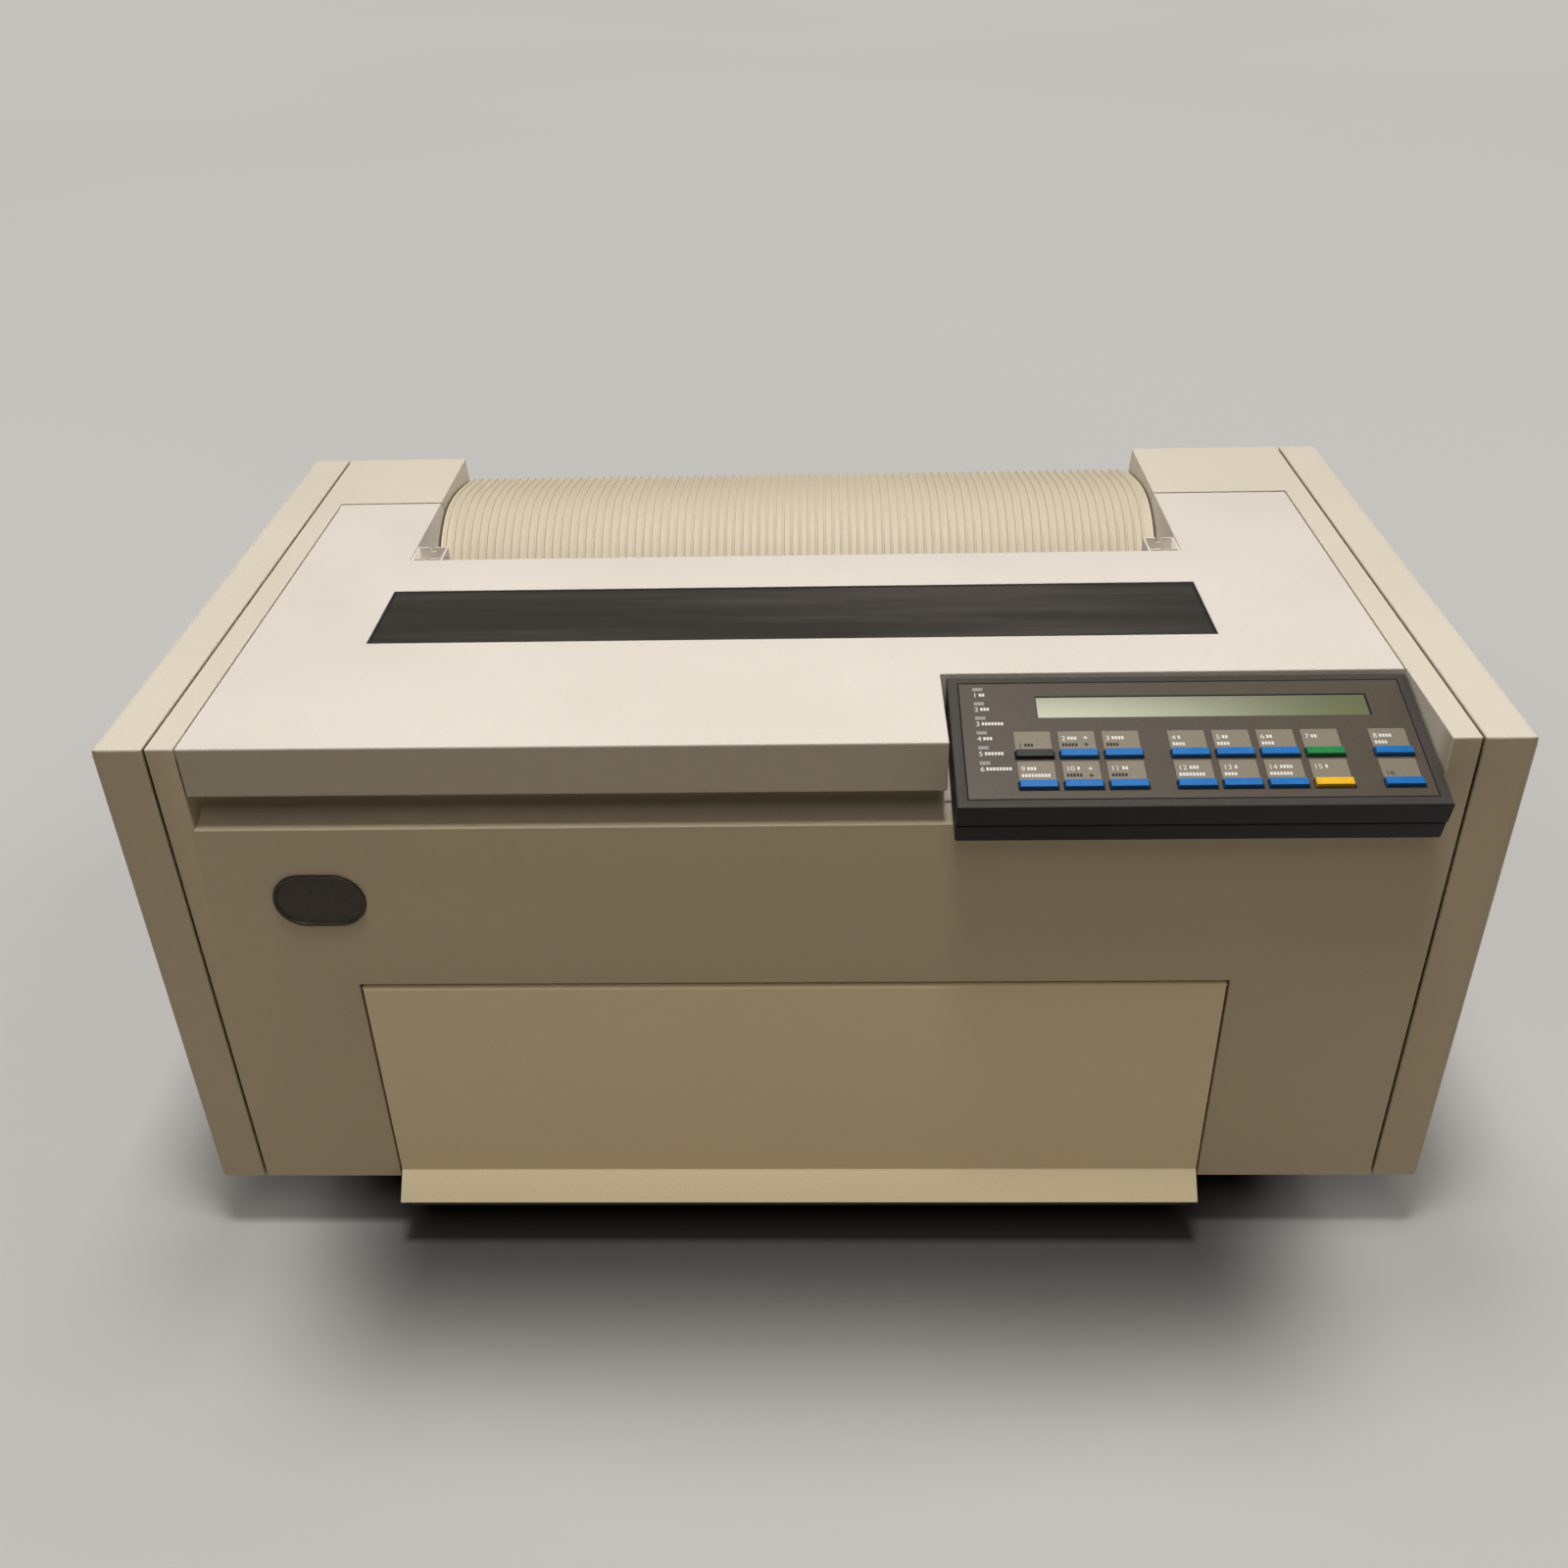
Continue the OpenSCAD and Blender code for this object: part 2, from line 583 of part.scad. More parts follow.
// steel pins: two in the rails for the lid, two in the ears for the forms door
module hinge_pins() place() color(steel) {
    for (s = [-1, 1])
        bar([hinge_y, hinge_z], pin_r, s < 0 ? -cover_x : lid_x - 11, s < 0 ? -lid_x + 11 : cover_x);
    for (x = [door_x0 - door_gap - 10, door_x1 - 12])
        bar([door_r, door_h - door_r], pin_r - 0.5, x, x + 22 + door_gap);
}

// ---- forms door and badge --------------------------------------------------

module front_door() place() color(cream) difference() {
    union() {
        along_x(door_x0, door_x1) polygon([[0, door_h - door_r], [-crease_out, crease_z],
            [-lip_out, -lip_drop], [wall - lip_out, -lip_drop], [wall - crease_out, crease_z],
            [wall, door_h - door_r]]);
        bar([door_r, door_h - door_r], door_r, door_x0, door_x1);
        // stiffening ribs at both ends and across the back
        for (x = [door_x0, door_x1 - wall]) along_x(x, x + wall) polygon([[1, door_h - door_r],
            [2 * door_r, door_h - door_r], [9, door_h - 20], [9, crease_z + 20], [1 - crease_out, crease_z]]);
        box(door_x0, door_x1, 0, 8, 60, 62);
    }
    for (x = [door_x0 - 1, door_x1 - 13])
        bar([door_r, door_h - door_r], pin_r - 0.5 + run_fit, x, x + 14);
}

// oval outline with four arcs, grown by g
module badge_2d(g) {
    w = badge_w / 2 - badge_h / 2;
    for (x = [-w, w]) translate([x, 0]) circle(r = badge_h / 2 + g);
    square([2 * w, badge_h + 2 * g], center = true);
}

module badge() place() color(brass) translate([badge_x, 1, badge_z]) rotate([90, 0, 0]) {
    linear_extrude(1.6) badge_2d(0);
    linear_extrude(2.4) difference() {
        badge_2d(0);
        badge_2d(-1.6);
    }
}

// ---- operator panel --------------------------------------------------------

// side profile of the panel between two depths below its top, drawn in by w
module panel_2d(d0, d1, w) polygon([panel_pt(w, d0), [panel_rear - w, panel_pt((panel_rear - w
    + panel_over - d0 * sin(panel_tilt)) / cos(panel_tilt), d0)[1]], [panel_rear - w, panel_pt((panel_rear
    - w + panel_over - d1 * sin(panel_tilt)) / cos(panel_tilt), d1)[1]], panel_pt(w, d1)]);

module panel_base() place() color(dark) difference() {
    along_x(panel_x0, panel_x1) panel_2d(panel_split, panel_t, 0);
    along_x(panel_x0 + panel_wall, panel_x1 - panel_wall)
        panel_2d(panel_split - 1, panel_t - panel_wall, panel_wall);
}

module panel_top() place() color(dark) difference() {
    along_x(panel_x0, panel_x1) panel_2d(0, panel_split, 0);
    along_x(panel_x0 + panel_wall, panel_x1 - panel_wall)
        panel_2d(overlay_recess + plate_t, panel_split + 1, panel_wall);
    on_panel() {
        overlay_block(0.1, -overlay_recess, 1);
        for (i = [0:15]) key_hole(i, -overlay_recess - plate_t - 1, 1);
        lcd_hole(-overlay_recess - plate_t - 1, 1);
        lamp_holes(0.1, -overlay_recess - plate_t - 1, 1);
    }
}

// outline of the overlay, grown by g, between two heights
module overlay_block(g, z0, z1) box(overlay_rim - g, panel_w - overlay_rim + g, overlay_rim - g,
    panel_l - overlay_rim + 1 + g, z0, z1);

module key_hole(i, z0, z1) box(key_place(i)[0] - key_gap, key_place(i)[0] + key_w + key_gap,
    key_place(i)[1] - key_gap, key_place(i)[1] + key_d + key_gap, z0, z1);

module lcd_hole(z0, z1) box(lcd_x, lcd_x + lcd_w, lcd_y, lcd_y + lcd_h, z0, z1);

// lamp windows, grown by g
module lamp_holes(g, z0, z1) for (i = [0:lamp_count - 1])
    box(lamp_x - g, lamp_x + lamp_w + g, 74.6 - i * lamp_pitch - lamp_h / 2 - g,
        74.6 - i * lamp_pitch + lamp_h / 2 + g, z0, z1);

module panel_overlay() place() on_panel() color([0.33, 0.30, 0.27]) difference() {
    overlay_block(0, -overlay_recess, -overlay_recess + overlay_t);
    for (i = [0:15]) key_hole(i, -3, 1);
    lcd_hole(-3, 1);
    lamp_holes(0.1, -3, 1);
}

// liquid crystal module, held against the underside of the plate
module display() place() on_panel() color([0.62, 0.68, 0.52]) {
    box(lcd_x - 3, lcd_x + lcd_w + 3, lcd_y - 1.5, lcd_y + lcd_h + 3,
        -overlay_recess - plate_t - 4, -overlay_recess - plate_t);
    // glass that fills the hole up to the overlay's face
    box(lcd_x + 0.2, lcd_x + lcd_w - 0.2, lcd_y + 0.2, lcd_y + lcd_h - 0.2,
        -overlay_recess - plate_t - 1, -overlay_recess + overlay_t - 0.2);
}

module indicator_lights() place() on_panel() color([0.75, 0.74, 0.68]) {
    lamp_holes(0, -overlay_recess - plate_t, -overlay_recess + overlay_t + 0.1);
    lamp_holes(0.8, -overlay_recess - plate_t - 2, -overlay_recess - plate_t);
}

// key bar with a flange that stops it under the plate
module key(i, c) place() on_panel() color(c) translate(concat(key_place(i), [0])) {
    top = -overlay_recess + overlay_t + key_h;
    stop = -overlay_recess - plate_t - 0.2;
    box(0, key_w, 0, key_d, stop - 1, top);
    box(-key_flange, key_w + key_flange, -key_flange, key_d + key_flange, stop - 1.4, stop);
}

blue = [0.08, 0.42, 0.70];
green = [0.10, 0.56, 0.30];
yellow = [0.92, 0.66, 0.08];

// ---- paper guide -----------------------------------------------------------

crest_y = top_d - crest_back;
guide_x0 = notch_x0 + 1.4;
guide_x1 = notch_x1 - 1.4;
rib_n = floor((guide_x1 - guide_x0) / rib_pitch);
rear_slope = 11.5;                     // of the straight stretch behind the rounds
front_slope = 45;                      // and of the one in front of them
ramp_l = 13;
front_c = [crest_y, crest_z - crest_r];
back_c = [crest_y, crest_z - back_r];
tail_s = polar(back_c, back_r, 90 - rear_slope);
tail_l = (top_d + 2 - tail_s[0]) / cos(rear_slope);
web_front = 8;                         // reach of the end webs in front of the crest
web_rear = 50;                         // and behind it
guide_web_y0 = crest_y - web_front;
guide_web_y1 = crest_y + web_rear;
guide_web_z = cover_h - 29.6;

back_steps = 2;
front_steps = 6;

// side line of the guide, d below the rib tips: tail, rear round, front round and ramp
function guide_line(d) = concat(
    [polar(polar(tail_s, tail_l, -rear_slope), d, -90 - rear_slope)],
    [for (i = [0:back_steps]) polar(back_c, back_r - d, 90 - rear_slope * (1 - i / back_steps))],
    [for (i = [1:front_steps]) polar(front_c, crest_r - d, 90 + front_slope * i / front_steps)],
    [polar(polar(front_c, crest_r - d, 90 + front_slope), ramp_l, 180 + front_slope)]);

web_top = [for (i = [0:back_steps + 2]) guide_line(rib_h + guide_t / 2)[i]];

function reversed(v) = [for (i = [len(v) - 1:-1:0]) v[i]];

// band of the guide's side profile between two depths below the rib tips
module guide_2d(d0, d1) polygon(concat(guide_line(d0), reversed(guide_line(d1))));

module paper_guide() place() color(cream) {
    along_x(guide_x0, guide_x1) guide_2d(rib_h, rib_h + guide_t);
    for (i = [0:rib_n - 1]) {
        x = guide_x0 + (i + 0.5) * rib_pitch - rib_w / 2;
        along_x(x, x + rib_w) guide_2d(0, rib_h + guide_t / 2);
    }
    // end webs that stand on the ledges of the main cover
    for (x = [guide_x0, guide_x1 - wall]) along_x(x, x + wall) polygon(concat(web_top,
        [[web_top[back_steps + 2][0], guide_web_z], [guide_web_y1, guide_web_z]]));
}

// ---- side frames and rods --------------------------------------------------

motor_y = belt_y - belt_w / 2 - 5;     // face of the carriage motor
lever_c = [platen_y + 21, platen_z + 14];

frame_y0 = pan_y0 + 30;                // front and rear ends of a frame's foot
frame_y1 = pan_y1 - 60;
frame_edge = [24, 33, 14, 18];         // metal left round the seats: above and beside the platen and the rods
frame_rear_h = 61.5;
frame_front_h = 151.5;
frame_waist = [45, 141.5];             // inner corner of the frame, behind the platen and above the foot
window_y = [103, 60];                  // opening for the cables, in from the rear end, and its width
window_z = [41.5, 40];                 // its height above the foot, and its own height
foot_w = 14;                           // width of the flange that the frame stands on
foot_t = 2;

// side profile shared by both frames, with the seats of the rods and shafts
module frame_2d() difference() {
    polygon([[frame_y0, pan_floor], [frame_y1, pan_floor], [frame_y1, pan_floor + frame_rear_h],
        [platen_y + frame_waist[0], pan_floor + frame_waist[1]],
        [platen_y + frame_edge[1], platen_z + frame_edge[0]],
        [platen_y - frame_edge[1], platen_z + frame_edge[0]],
        [platen_y - frame_edge[1], rod_z + frame_edge[2]],
        [rod_y - frame_edge[3], rod_z + frame_edge[2]], [frame_y0, pan_floor + frame_front_h]]);
    translate(platen_c) circle(r = shaft_r + run_fit);
    translate([rod_y, rod_z]) circle(r = rod_r + run_fit);
    translate([rod2_y, rod_z]) circle(r = rod_r + run_fit);
    translate(tractor_c) circle(r = hex_r + run_fit);
    translate(rod3_c) circle(r = hex_r + run_fit);
    translate([frame_y1 - window_y[0], pan_floor + window_z[0]]) square([window_y[1], window_z[1]]);
}

module left_frame() place() color(steel) {
    along_x(frame_x0 - frame_t, frame_x0) frame_2d();
    box(frame_x0 - eps, frame_x0 + foot_w, frame_y0, frame_y1, pan_floor, pan_floor + foot_t);
    // bracket and stud of the tension pulley
    box(frame_x0 - eps, tension_x + 12, motor_y, motor_y + 2.5, belt_z - 12, belt_z + 12);
    translate([tension_x, motor_y + 2, belt_z]) rotate([-90, 0, 0]) cylinder(r = 4, h = belt_w + 5);
    // stud of the head gap lever
    bar(lever_c, 3, frame_x0 - eps, frame_x0 + 6);
}

module right_frame() place() color(steel) {
    difference() {
        along_x(frame_x1, frame_x1 + frame_t) frame_2d();
        bar(pinion_c, 11 + run_fit, frame_x1 - 1, frame_x1 + frame_t + 1);
    }
    box(frame_x1 - foot_w, frame_x1 + eps, frame_y0, frame_y1, pan_floor, pan_floor + foot_t);
    // bracket of the carriage motor
    difference() {
        box(drive_x - motor_w / 2, frame_x1 + eps, motor_y, motor_y + 2.5, belt_z - motor_w / 2,
            belt_z + motor_w / 2);
        translate([drive_x, motor_y - 1, belt_z]) rotate([-90, 0, 0]) cylinder(r = 11 + run_fit, h = 5);
    }
    bar(idler_c, 4, frame_x1 + frame_t - eps, gear_x + gear_w + 2);
}

// two hardened rods that carry the carriage, and a thinner one that steadies the tractors
module guide_rods() place() color([0.75, 0.76, 0.78]) {
    for (y = [rod_y, rod2_y]) bar([y, rod_z], rod_r, frame_x0 - frame_t, frame_x1 + frame_t);
    bar(rod3_c, hex_r, frame_x0 - frame_t, frame_x1 + frame_t);
}

// ---- platen and feed train -------------------------------------------------

module platen() place() color(black) difference() {
    bar(platen_c, platen_r, notch_x0 + 2, notch_x1 - 2);
    bar(platen_c, shaft_r, notch_x0 + 1, notch_x1 - 1);
}

module platen_shaft() place() color(steel) {
    bar(platen_c, shaft_r, frame_x0 - frame_t - 5, gear_x + gear_w);
    gear(platen_c, gear_n, 0, gear_x, gear_x + gear_w);
}

module idler_gear() place() color([0.85, 0.84, 0.78]) difference() {
    gear(idler_c, idler_n, idler_turn, gear_x, gear_x + gear_w);
    bar(idler_c, 4 + run_fit, gear_x - 1, gear_x + gear_w + 1);
    for (a = [0:60:300]) bar(polar(idler_c, 26, a + 20), 8, gear_x - 1, gear_x + gear_w + 1);
}

module feed_pinion() place() color(brass) {
    gear(pinion_c, pinion_n, pinion_turn, gear_x, gear_x + gear_w);
    bar(pinion_c, 3, frame_x1 - motor_l + 10, gear_x + eps);
}

module feed_motor() place() color([0.22, 0.22, 0.23]) difference() {
    union() {
        box(frame_x1 - motor_l, frame_x1, pinion_c[0] - motor_w / 2, pinion_c[0] + motor_w / 2,
            pinion_c[1] - motor_w / 2, pinion_c[1] + motor_w / 2);
        bar(pinion_c, 11, frame_x1 - eps, frame_x1 + frame_t - 1);
    }
    bar(pinion_c, 3 + run_fit, frame_x1 - motor_l + 9, frame_x1 + frame_t);
}

// ---- carriage --------------------------------------------------------------

module carriage() place() color([0.2, 0.2, 0.21]) difference() {
    union() {
        box(mid_x - carriage_w / 2, mid_x + carriage_w / 2, rod_y - 11, rod2_y + 10, rod_z - 11, rod_z + 10);
        box(mid_x - 10, mid_x + 10, belt_y - belt_w / 2 + 1, rod_y - 10, belt_z + pulley_r - 4,
            belt_z + pulley_r + 6);
    }
    for (y = [rod_y, rod2_y]) bar([y, rod_z], rod_r + run_fit, mid_x - carriage_w, mid_x + carriage_w);
    box(mid_x - 14, mid_x + 14, rod_y + 10, rod2_y - 10, rod_z - 12, rod_z + 11);
    // slot that grips the belt's upper run
    box(mid_x - 11, mid_x + 11, belt_y - belt_w / 2 - fit, belt_y + belt_w / 2 + fit,
        belt_z + pulley_r, belt_z + pulley_r + belt_t + 2 * fit);
}

head_y0 = rod_y + 6;
head_y1 = rod2_y + 9;
head_top = platen_z + 12;

// finned body with a round nose that faces the platen
module print_head() place() color([0.35, 0.35, 0.37]) {
    difference() {
        box(mid_x - 22, mid_x + 22, head_y0, head_y1, rod_z + 10, head_top);
        for (i = [0:5]) for (s = [-1, 1]) box(mid_x + s * 19 - 4, mid_x + s * 19 + 4,
            head_y0 - 1, head_y1 + 1, rod_z + 13 + i * 3.4, rod_z + 14.6 + i * 3.4);
    }
    translate([mid_x, head_y1 - eps, platen_z]) rotate([-90, 0, 0])
        cylinder(r1 = 9, r2 = 6, h = platen_y - platen_r - 0.7 - head_y1);
}

cart_z0 = head_top;
cart_z1 = cart_z0 + 14;
knob_c = [mid_x - 24, rod_y + 14];

module ribbon_cartridge() place() color([0.12, 0.12, 0.13]) difference() {
    union() {
        box(mid_x - 42, mid_x + 42, rod_y - 7, rod2_y + 15, cart_z0, cart_z1);
        for (s = [-1, 1]) box(mid_x + s * 30 - 3, mid_x + s * 30 + 3, rod2_y + 14, platen_y - platen_r - 1,
            cart_z0 - 8, cart_z0 + 4);
    }
    translate([knob_c[0], knob_c[1], cart_z1 - 6]) cylinder(r = 3 + run_fit, h = 7);
    box(mid_x - 36, mid_x + 36, rod2_y + 2, rod2_y + 12, cart_z0 + 3, cart_z1 + 1);
}

module ribbon_knob() place() color([0.15, 0.35, 0.6]) translate([knob_c[0], knob_c[1], 0]) {
    translate([0, 0, cart_z1 - 5]) cylinder(r = 3, h = 6);
    translate([0, 0, cart_z1 + fit]) difference() {
        cylinder(r = 9, h = 8);
        for (a = [0:30:330]) rotate(a) translate([10, 0, -1]) cylinder(r = 1.8, h = 10, $fn = 16);
    }
}

// outline of the belt loop round both pulleys at radius r
module loop_2d(r) {
    for (x = [tension_x, drive_x]) translate([x, 0]) circle(r = r);
    translate([tension_x, -r]) square([drive_x - tension_x, 2 * r]);
}

module carriage_belt() place() color(black) translate([0, belt_y + belt_w / 2, belt_z])
    rotate([90, 0, 0]) linear_extrude(belt_w) difference() {
        loop_2d(pulley_r + fit + belt_t);
        loop_2d(pulley_r + fit);
    }

// pulley with two flanges that keep the belt on
module pulley() {
    cylinder(r = pulley_r, h = belt_w);
    translate([0, 0, -1 - fit]) cylinder(r = pulley_r + 2.6, h = 1);
    translate([0, 0, belt_w + fit]) cylinder(r = pulley_r + 2.6, h = 1);
    translate([0, 0, -1]) cylinder(r = pulley_r - 1, h = belt_w + 2);
}

module drive_pulley() place() color(steel) translate([drive_x, belt_y - belt_w / 2, belt_z])
    rotate([-90, 0, 0]) mirror([0, 1, 0]) {
        pulley();
        translate([0, 0, -motor_l + 10]) cylinder(r = 3, h = motor_l - 10);
    }

module tension_pulley() place() color(steel) translate([tension_x, belt_y - belt_w / 2, belt_z])
    rotate([-90, 0, 0]) difference() {
        pulley();
        translate([0, 0, -3]) cylinder(r = 4 + run_fit, h = belt_w + 6);
    }

module carriage_motor() place() color([0.22, 0.22, 0.23]) difference() {
    union() {
        box(drive_x - motor_w / 2, drive_x + motor_w / 2, motor_y - motor_l, motor_y,
            belt_z - motor_w / 2, belt_z + motor_w / 2);
        translate([drive_x, motor_y - eps, belt_z]) rotate([-90, 0, 0]) cylinder(r = 11, h = 1.5);
    }
    translate([drive_x, motor_y - motor_l + 9, belt_z]) rotate([-90, 0, 0])
        cylinder(r = 3 + run_fit, h = motor_l);
}

// ---- tractors --------------------------------------------------------------

module hex_2d(g) circle(r = (hex_r + g) / cos(30), $fn = 6);

module tractor_shaft() place() color(steel) {
    along_x(frame_x0 + 2, frame_x1 - 2) translate(tractor_c) hex_2d(0);
    bar(tractor_c, hex_r, frame_x0 - frame_t - 3, frame_x0 + 2 + eps);
    bar(tractor_c, hex_r, frame_x1 - 2 - eps, gear_x + gear_w);
    gear(tractor_c, gear_n, tractor_turn, gear_x, gear_x + gear_w);
}

pin_h = 3;                             // height of the sprocket pins

// wheel that slides on the hexagon, with twelve feed pins
module sprocket(x) translate([0, tractor_c[0], tractor_c[1]]) {
    difference() {
        bar([0, 0], sprocket_r, x - 3, x + 3);
        along_x(x - 4, x + 4) hex_2d(run_fit);
    }
    for (a = [0:30:330]) rotate([a, 0, 0]) translate([x, 0, sprocket_r - 0.5])
        cylinder(r = 1.6, h = pin_h + 0.5, $fn = 24);
}

module left_sprocket() place() color([0.8, 0.8, 0.75]) sprocket(tractor_x[0]);

module right_sprocket() place() color([0.8, 0.8, 0.75]) sprocket(tractor_x[1]);

tractor_y0 = tractor_c[0] - sprocket_r + 1;
tractor_y1 = tractor_c[0] + sprocket_r + 6;
door_y = tractor_c[0] - sprocket_r - pin_h - 0.7;   // inner face of a tractor's door
ear_z = 20;                            // half the height between a tractor's hinge ears

// tractor body: cheeks beside the sprocket, a bore for the steadying rod and hinge ears; s is its outer side
module tractor(x, s) {
    hx = x + s * (tractor_w / 2 + 3.5);
    difference() {
        box(x - tractor_w / 2, x + tractor_w / 2, tractor_y0, tractor_y1, rod3_c[1] - 10, tractor_c[1] + 17);
        bar(tractor_c, sprocket_r + pin_h + 0.6, x - 3.4, x + 3.4);
        bar(tractor_c, hex_r / cos(30) + fit, x - tractor_w, x + tractor_w);
        bar(rod3_c, hex_r + run_fit, x - tractor_w, x + tractor_w);
    }
    for (z = [tractor_c[1] - ear_z, tractor_c[1] + ear_z - 3]) {
        translate([hx, door_y - 1.5, z]) cylinder(r = 3, h = 3);
        box(min(hx - s, x + s * 8), max(hx - s, x + s * 8), door_y - 3, tractor_y0 + 2, z, z + 3);
    }
    translate([hx, door_y - 1.5, tractor_c[1] - ear_z + 1]) cylinder(r = 1.5, h = 2 * ear_z - 2);
    // bridge from the upper ear down to the body
    box(x + s * 9.5 - 1.5, x + s * 9.5 + 1.5, tractor_y0 - 1, tractor_y0 + 2, tractor_c[1] + 14,
        tractor_c[1] + ear_z);
}

module left_tractor() place() color([0.25, 0.26, 0.28]) tractor(tractor_x[0], -1);

module right_tractor() place() color([0.25, 0.26, 0.28]) tractor(tractor_x[1], 1);

// flap that holds the paper on the pins
module tractor_door(x, s) {
    hx = x + s * (tractor_w / 2 + 3.5);
    z0 = tractor_c[1] - ear_z + 3 + fit;
    z1 = tractor_c[1] + ear_z - 3 - fit;
    difference() {
        union() {
            translate([hx, door_y - 1.5, z0]) cylinder(r = 3, h = z1 - z0);
            box(min(hx, x - s * tractor_w / 2), max(hx, x - s * tractor_w / 2), door_y - 3, door_y, z0, z1);
        }
        translate([hx, door_y - 1.5, z0 - 1]) cylinder(r = 1.5 + run_fit, h = z1 - z0 + 2);
    }
}

module left_tractor_door() place() color([0.3, 0.31, 0.33]) tractor_door(tractor_x[0], -1);

module right_tractor_door() place() color([0.3, 0.31, 0.33]) tractor_door(tractor_x[1], 1);

// ---- lever, electronics and rear sockets -------------------------------------

module gap_lever() place() color([0.15, 0.35, 0.6]) translate([frame_x0 + fit, 0, 0]) difference() {
    union() {
        bar(lever_c, 7, 0, 4);
        box(0, 4, lever_c[0] - 4, lever_c[0] + 4, lever_c[1], 236);
        bar([lever_c[0], 232], 6, 0, 9);
    }
    bar(lever_c, 3 + run_fit, -1, 5);
}

case_x0 = 75.4 - pan_x;
case_w = 145;
case_d = 146;
case_h = 76.5;
case_t = 1.5;
case_y1 = pan_y1 - 12;
board_x1 = pan_x - 80.4;
board_w = 240;
board_d = 148;
board_h = 9;                           // height of the pillars under the circuit board
board_t = 1.6;
chip_h = 4.4;
chip_pitch = [42, 50];
chip_size = [[28, 18], [14, 40]];
chip_y = [102, 38];                    // rear edges of the two rows of chips, from the board's

// transformer under a steel case, and a circuit board on four pillars
module electronics() place() color([0.3, 0.45, 0.35]) {
    board_x0 = board_x1 - board_w;
    board_y1 = pan_y1 - 10;
    board_y0 = board_y1 - board_d;
    board_z = pan_floor + board_h;
    difference() {
        box(case_x0, case_x0 + case_w, case_y1 - case_d, case_y1, pan_floor, pan_floor + case_h);
        box(case_x0 + case_t, case_x0 + case_w - case_t, case_y1 - case_d + case_t, case_y1 - case_t,
            pan_floor - 1, pan_floor + case_h - case_t);
    }
    box(case_x0 + 25, case_x0 + case_w - 50, case_y1 - case_d + 20, case_y1 - 56, pan_floor,
        pan_floor + case_h - 15);
    for (x = [board_x0 + 10, board_x1 - 10], y = [board_y0 + 10, board_y1 - 10])
        translate([x, y, pan_floor]) cylinder(r = 3.5, h = board_h);
    box(board_x0, board_x1, board_y0, board_y1, board_z, board_z + board_t);
    for (r = [0, 1], i = [0:4 - r]) {
        x = board_x0 + 18 + 12 * r + i * chip_pitch[r];
        y = board_y1 - chip_y[r];
        box(x, x + chip_size[r][0], y - chip_size[r][1], y, board_z + board_t, board_z + board_t + chip_h);
    }
}

inlet_x = [32.4 - cover_x, 62.4 - cover_x];
switch_x = [76.4 - cover_x, 96.4 - cover_x];
port_x = [[cover_x - 234.4, cover_x - 176.4], [cover_x - 154.4, cover_x - 114.4]];
sock_z = [9, 35];
sock_y = foot_d - 22;

module socket_cuts() {
    for (x = concat([inlet_x, switch_x], port_x))
        box(x[0] - 0.2, x[1] + 0.2, foot_d - wall - 1, foot_d + 1, sock_z[0] - 0.2, sock_z[1] + 0.2);
}

// open-backed socket body between two X values
module socket_box(x, w, depth) difference() {
    box(x[0], x[1], sock_y, foot_d - 0.5, sock_z[0], sock_z[1]);
    box(x[0] + w, x[1] - w, foot_d - depth, foot_d, sock_z[0] + w, sock_z[1] - w);
}

rocker_c = [foot_d - 7.5, (sock_z[0] + sock_z[1]) / 2];

module rear_sockets() place() color(black) {
    socket_box(inlet_x, 3, 18);
    for (i = [-1, 0, 1]) {
        x = (inlet_x[0] + inlet_x[1]) / 2 + i * 7;
        z = rocker_c[1] + (i == 0 ? 2 : -4);
        box(x - 1, x + 1, foot_d - 18.5, foot_d - 5, z, z + (i == 0 ? 3 : 4));
    }
    difference() {
        socket_box(switch_x, 2.5, 16);
        bar(rocker_c, 1.5 + run_fit, switch_x[0] + 0.5, switch_x[1] - 0.5);
    }
    for (x = port_x) {
        socket_box(x, 4, 8);
        box(x[0] + 8, x[1] - 8, foot_d - 8.5, foot_d - 2, sock_z[0] + 10, sock_z[1] - 10);
    }
}

// rocker on two stub pins, with its upper half pressed in
module power_switch() place() color([0.1, 0.1, 0.1])
translate([0, rocker_c[0], rocker_c[1]]) rotate([8, 0, 0]) {
    along_x(switch_x[0] + 2.8, switch_x[1] - 2.8) polygon([[-6, -4], [2.5, -9.5], [5, -9.5], [3.5, 0],
        [5, 9.5], [2.5, 9.5], [-6, 4]]);
    bar([0, 0], 1.5, switch_x[0] + 1, switch_x[1] - 1);
}

base_pan();
rubber_feet();
main_cover();
left_side_cover();
right_side_cover();
rear_cover();
lid();
lid_window();
hinge_pins();
front_door();
badge();
panel_base();
panel_top();
panel_overlay();
display();
indicator_lights();
key(0, black);  // key_01
key(1, blue);  // key_02
key(2, blue);  // key_03
key(3, blue);  // key_04
key(4, blue);  // key_05
key(5, blue);  // key_06
key(6, green);  // key_07
key(7, blue);  // key_08
key(8, blue);  // key_09
key(9, blue);  // key_10
key(10, blue);  // key_11
key(11, blue);  // key_12
key(12, blue);  // key_13
key(13, blue);  // key_14
key(14, yellow);  // key_15
key(15, blue);  // key_16
paper_guide();
left_frame();
right_frame();
platen();
platen_shaft();
guide_rods();
carriage();
print_head();
ribbon_cartridge();
ribbon_knob();
carriage_belt();
drive_pulley();
tension_pulley();
carriage_motor();
feed_motor();
feed_pinion();
idler_gear();
tractor_shaft();
left_sprocket();
right_sprocket();
left_tractor();
right_tractor();
left_tractor_door();
right_tractor_door();
gap_lever();
electronics();
rear_sockets();
power_switch();
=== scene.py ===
import json
import math

import bmesh
import bpy
from mathutils import Matrix, Vector


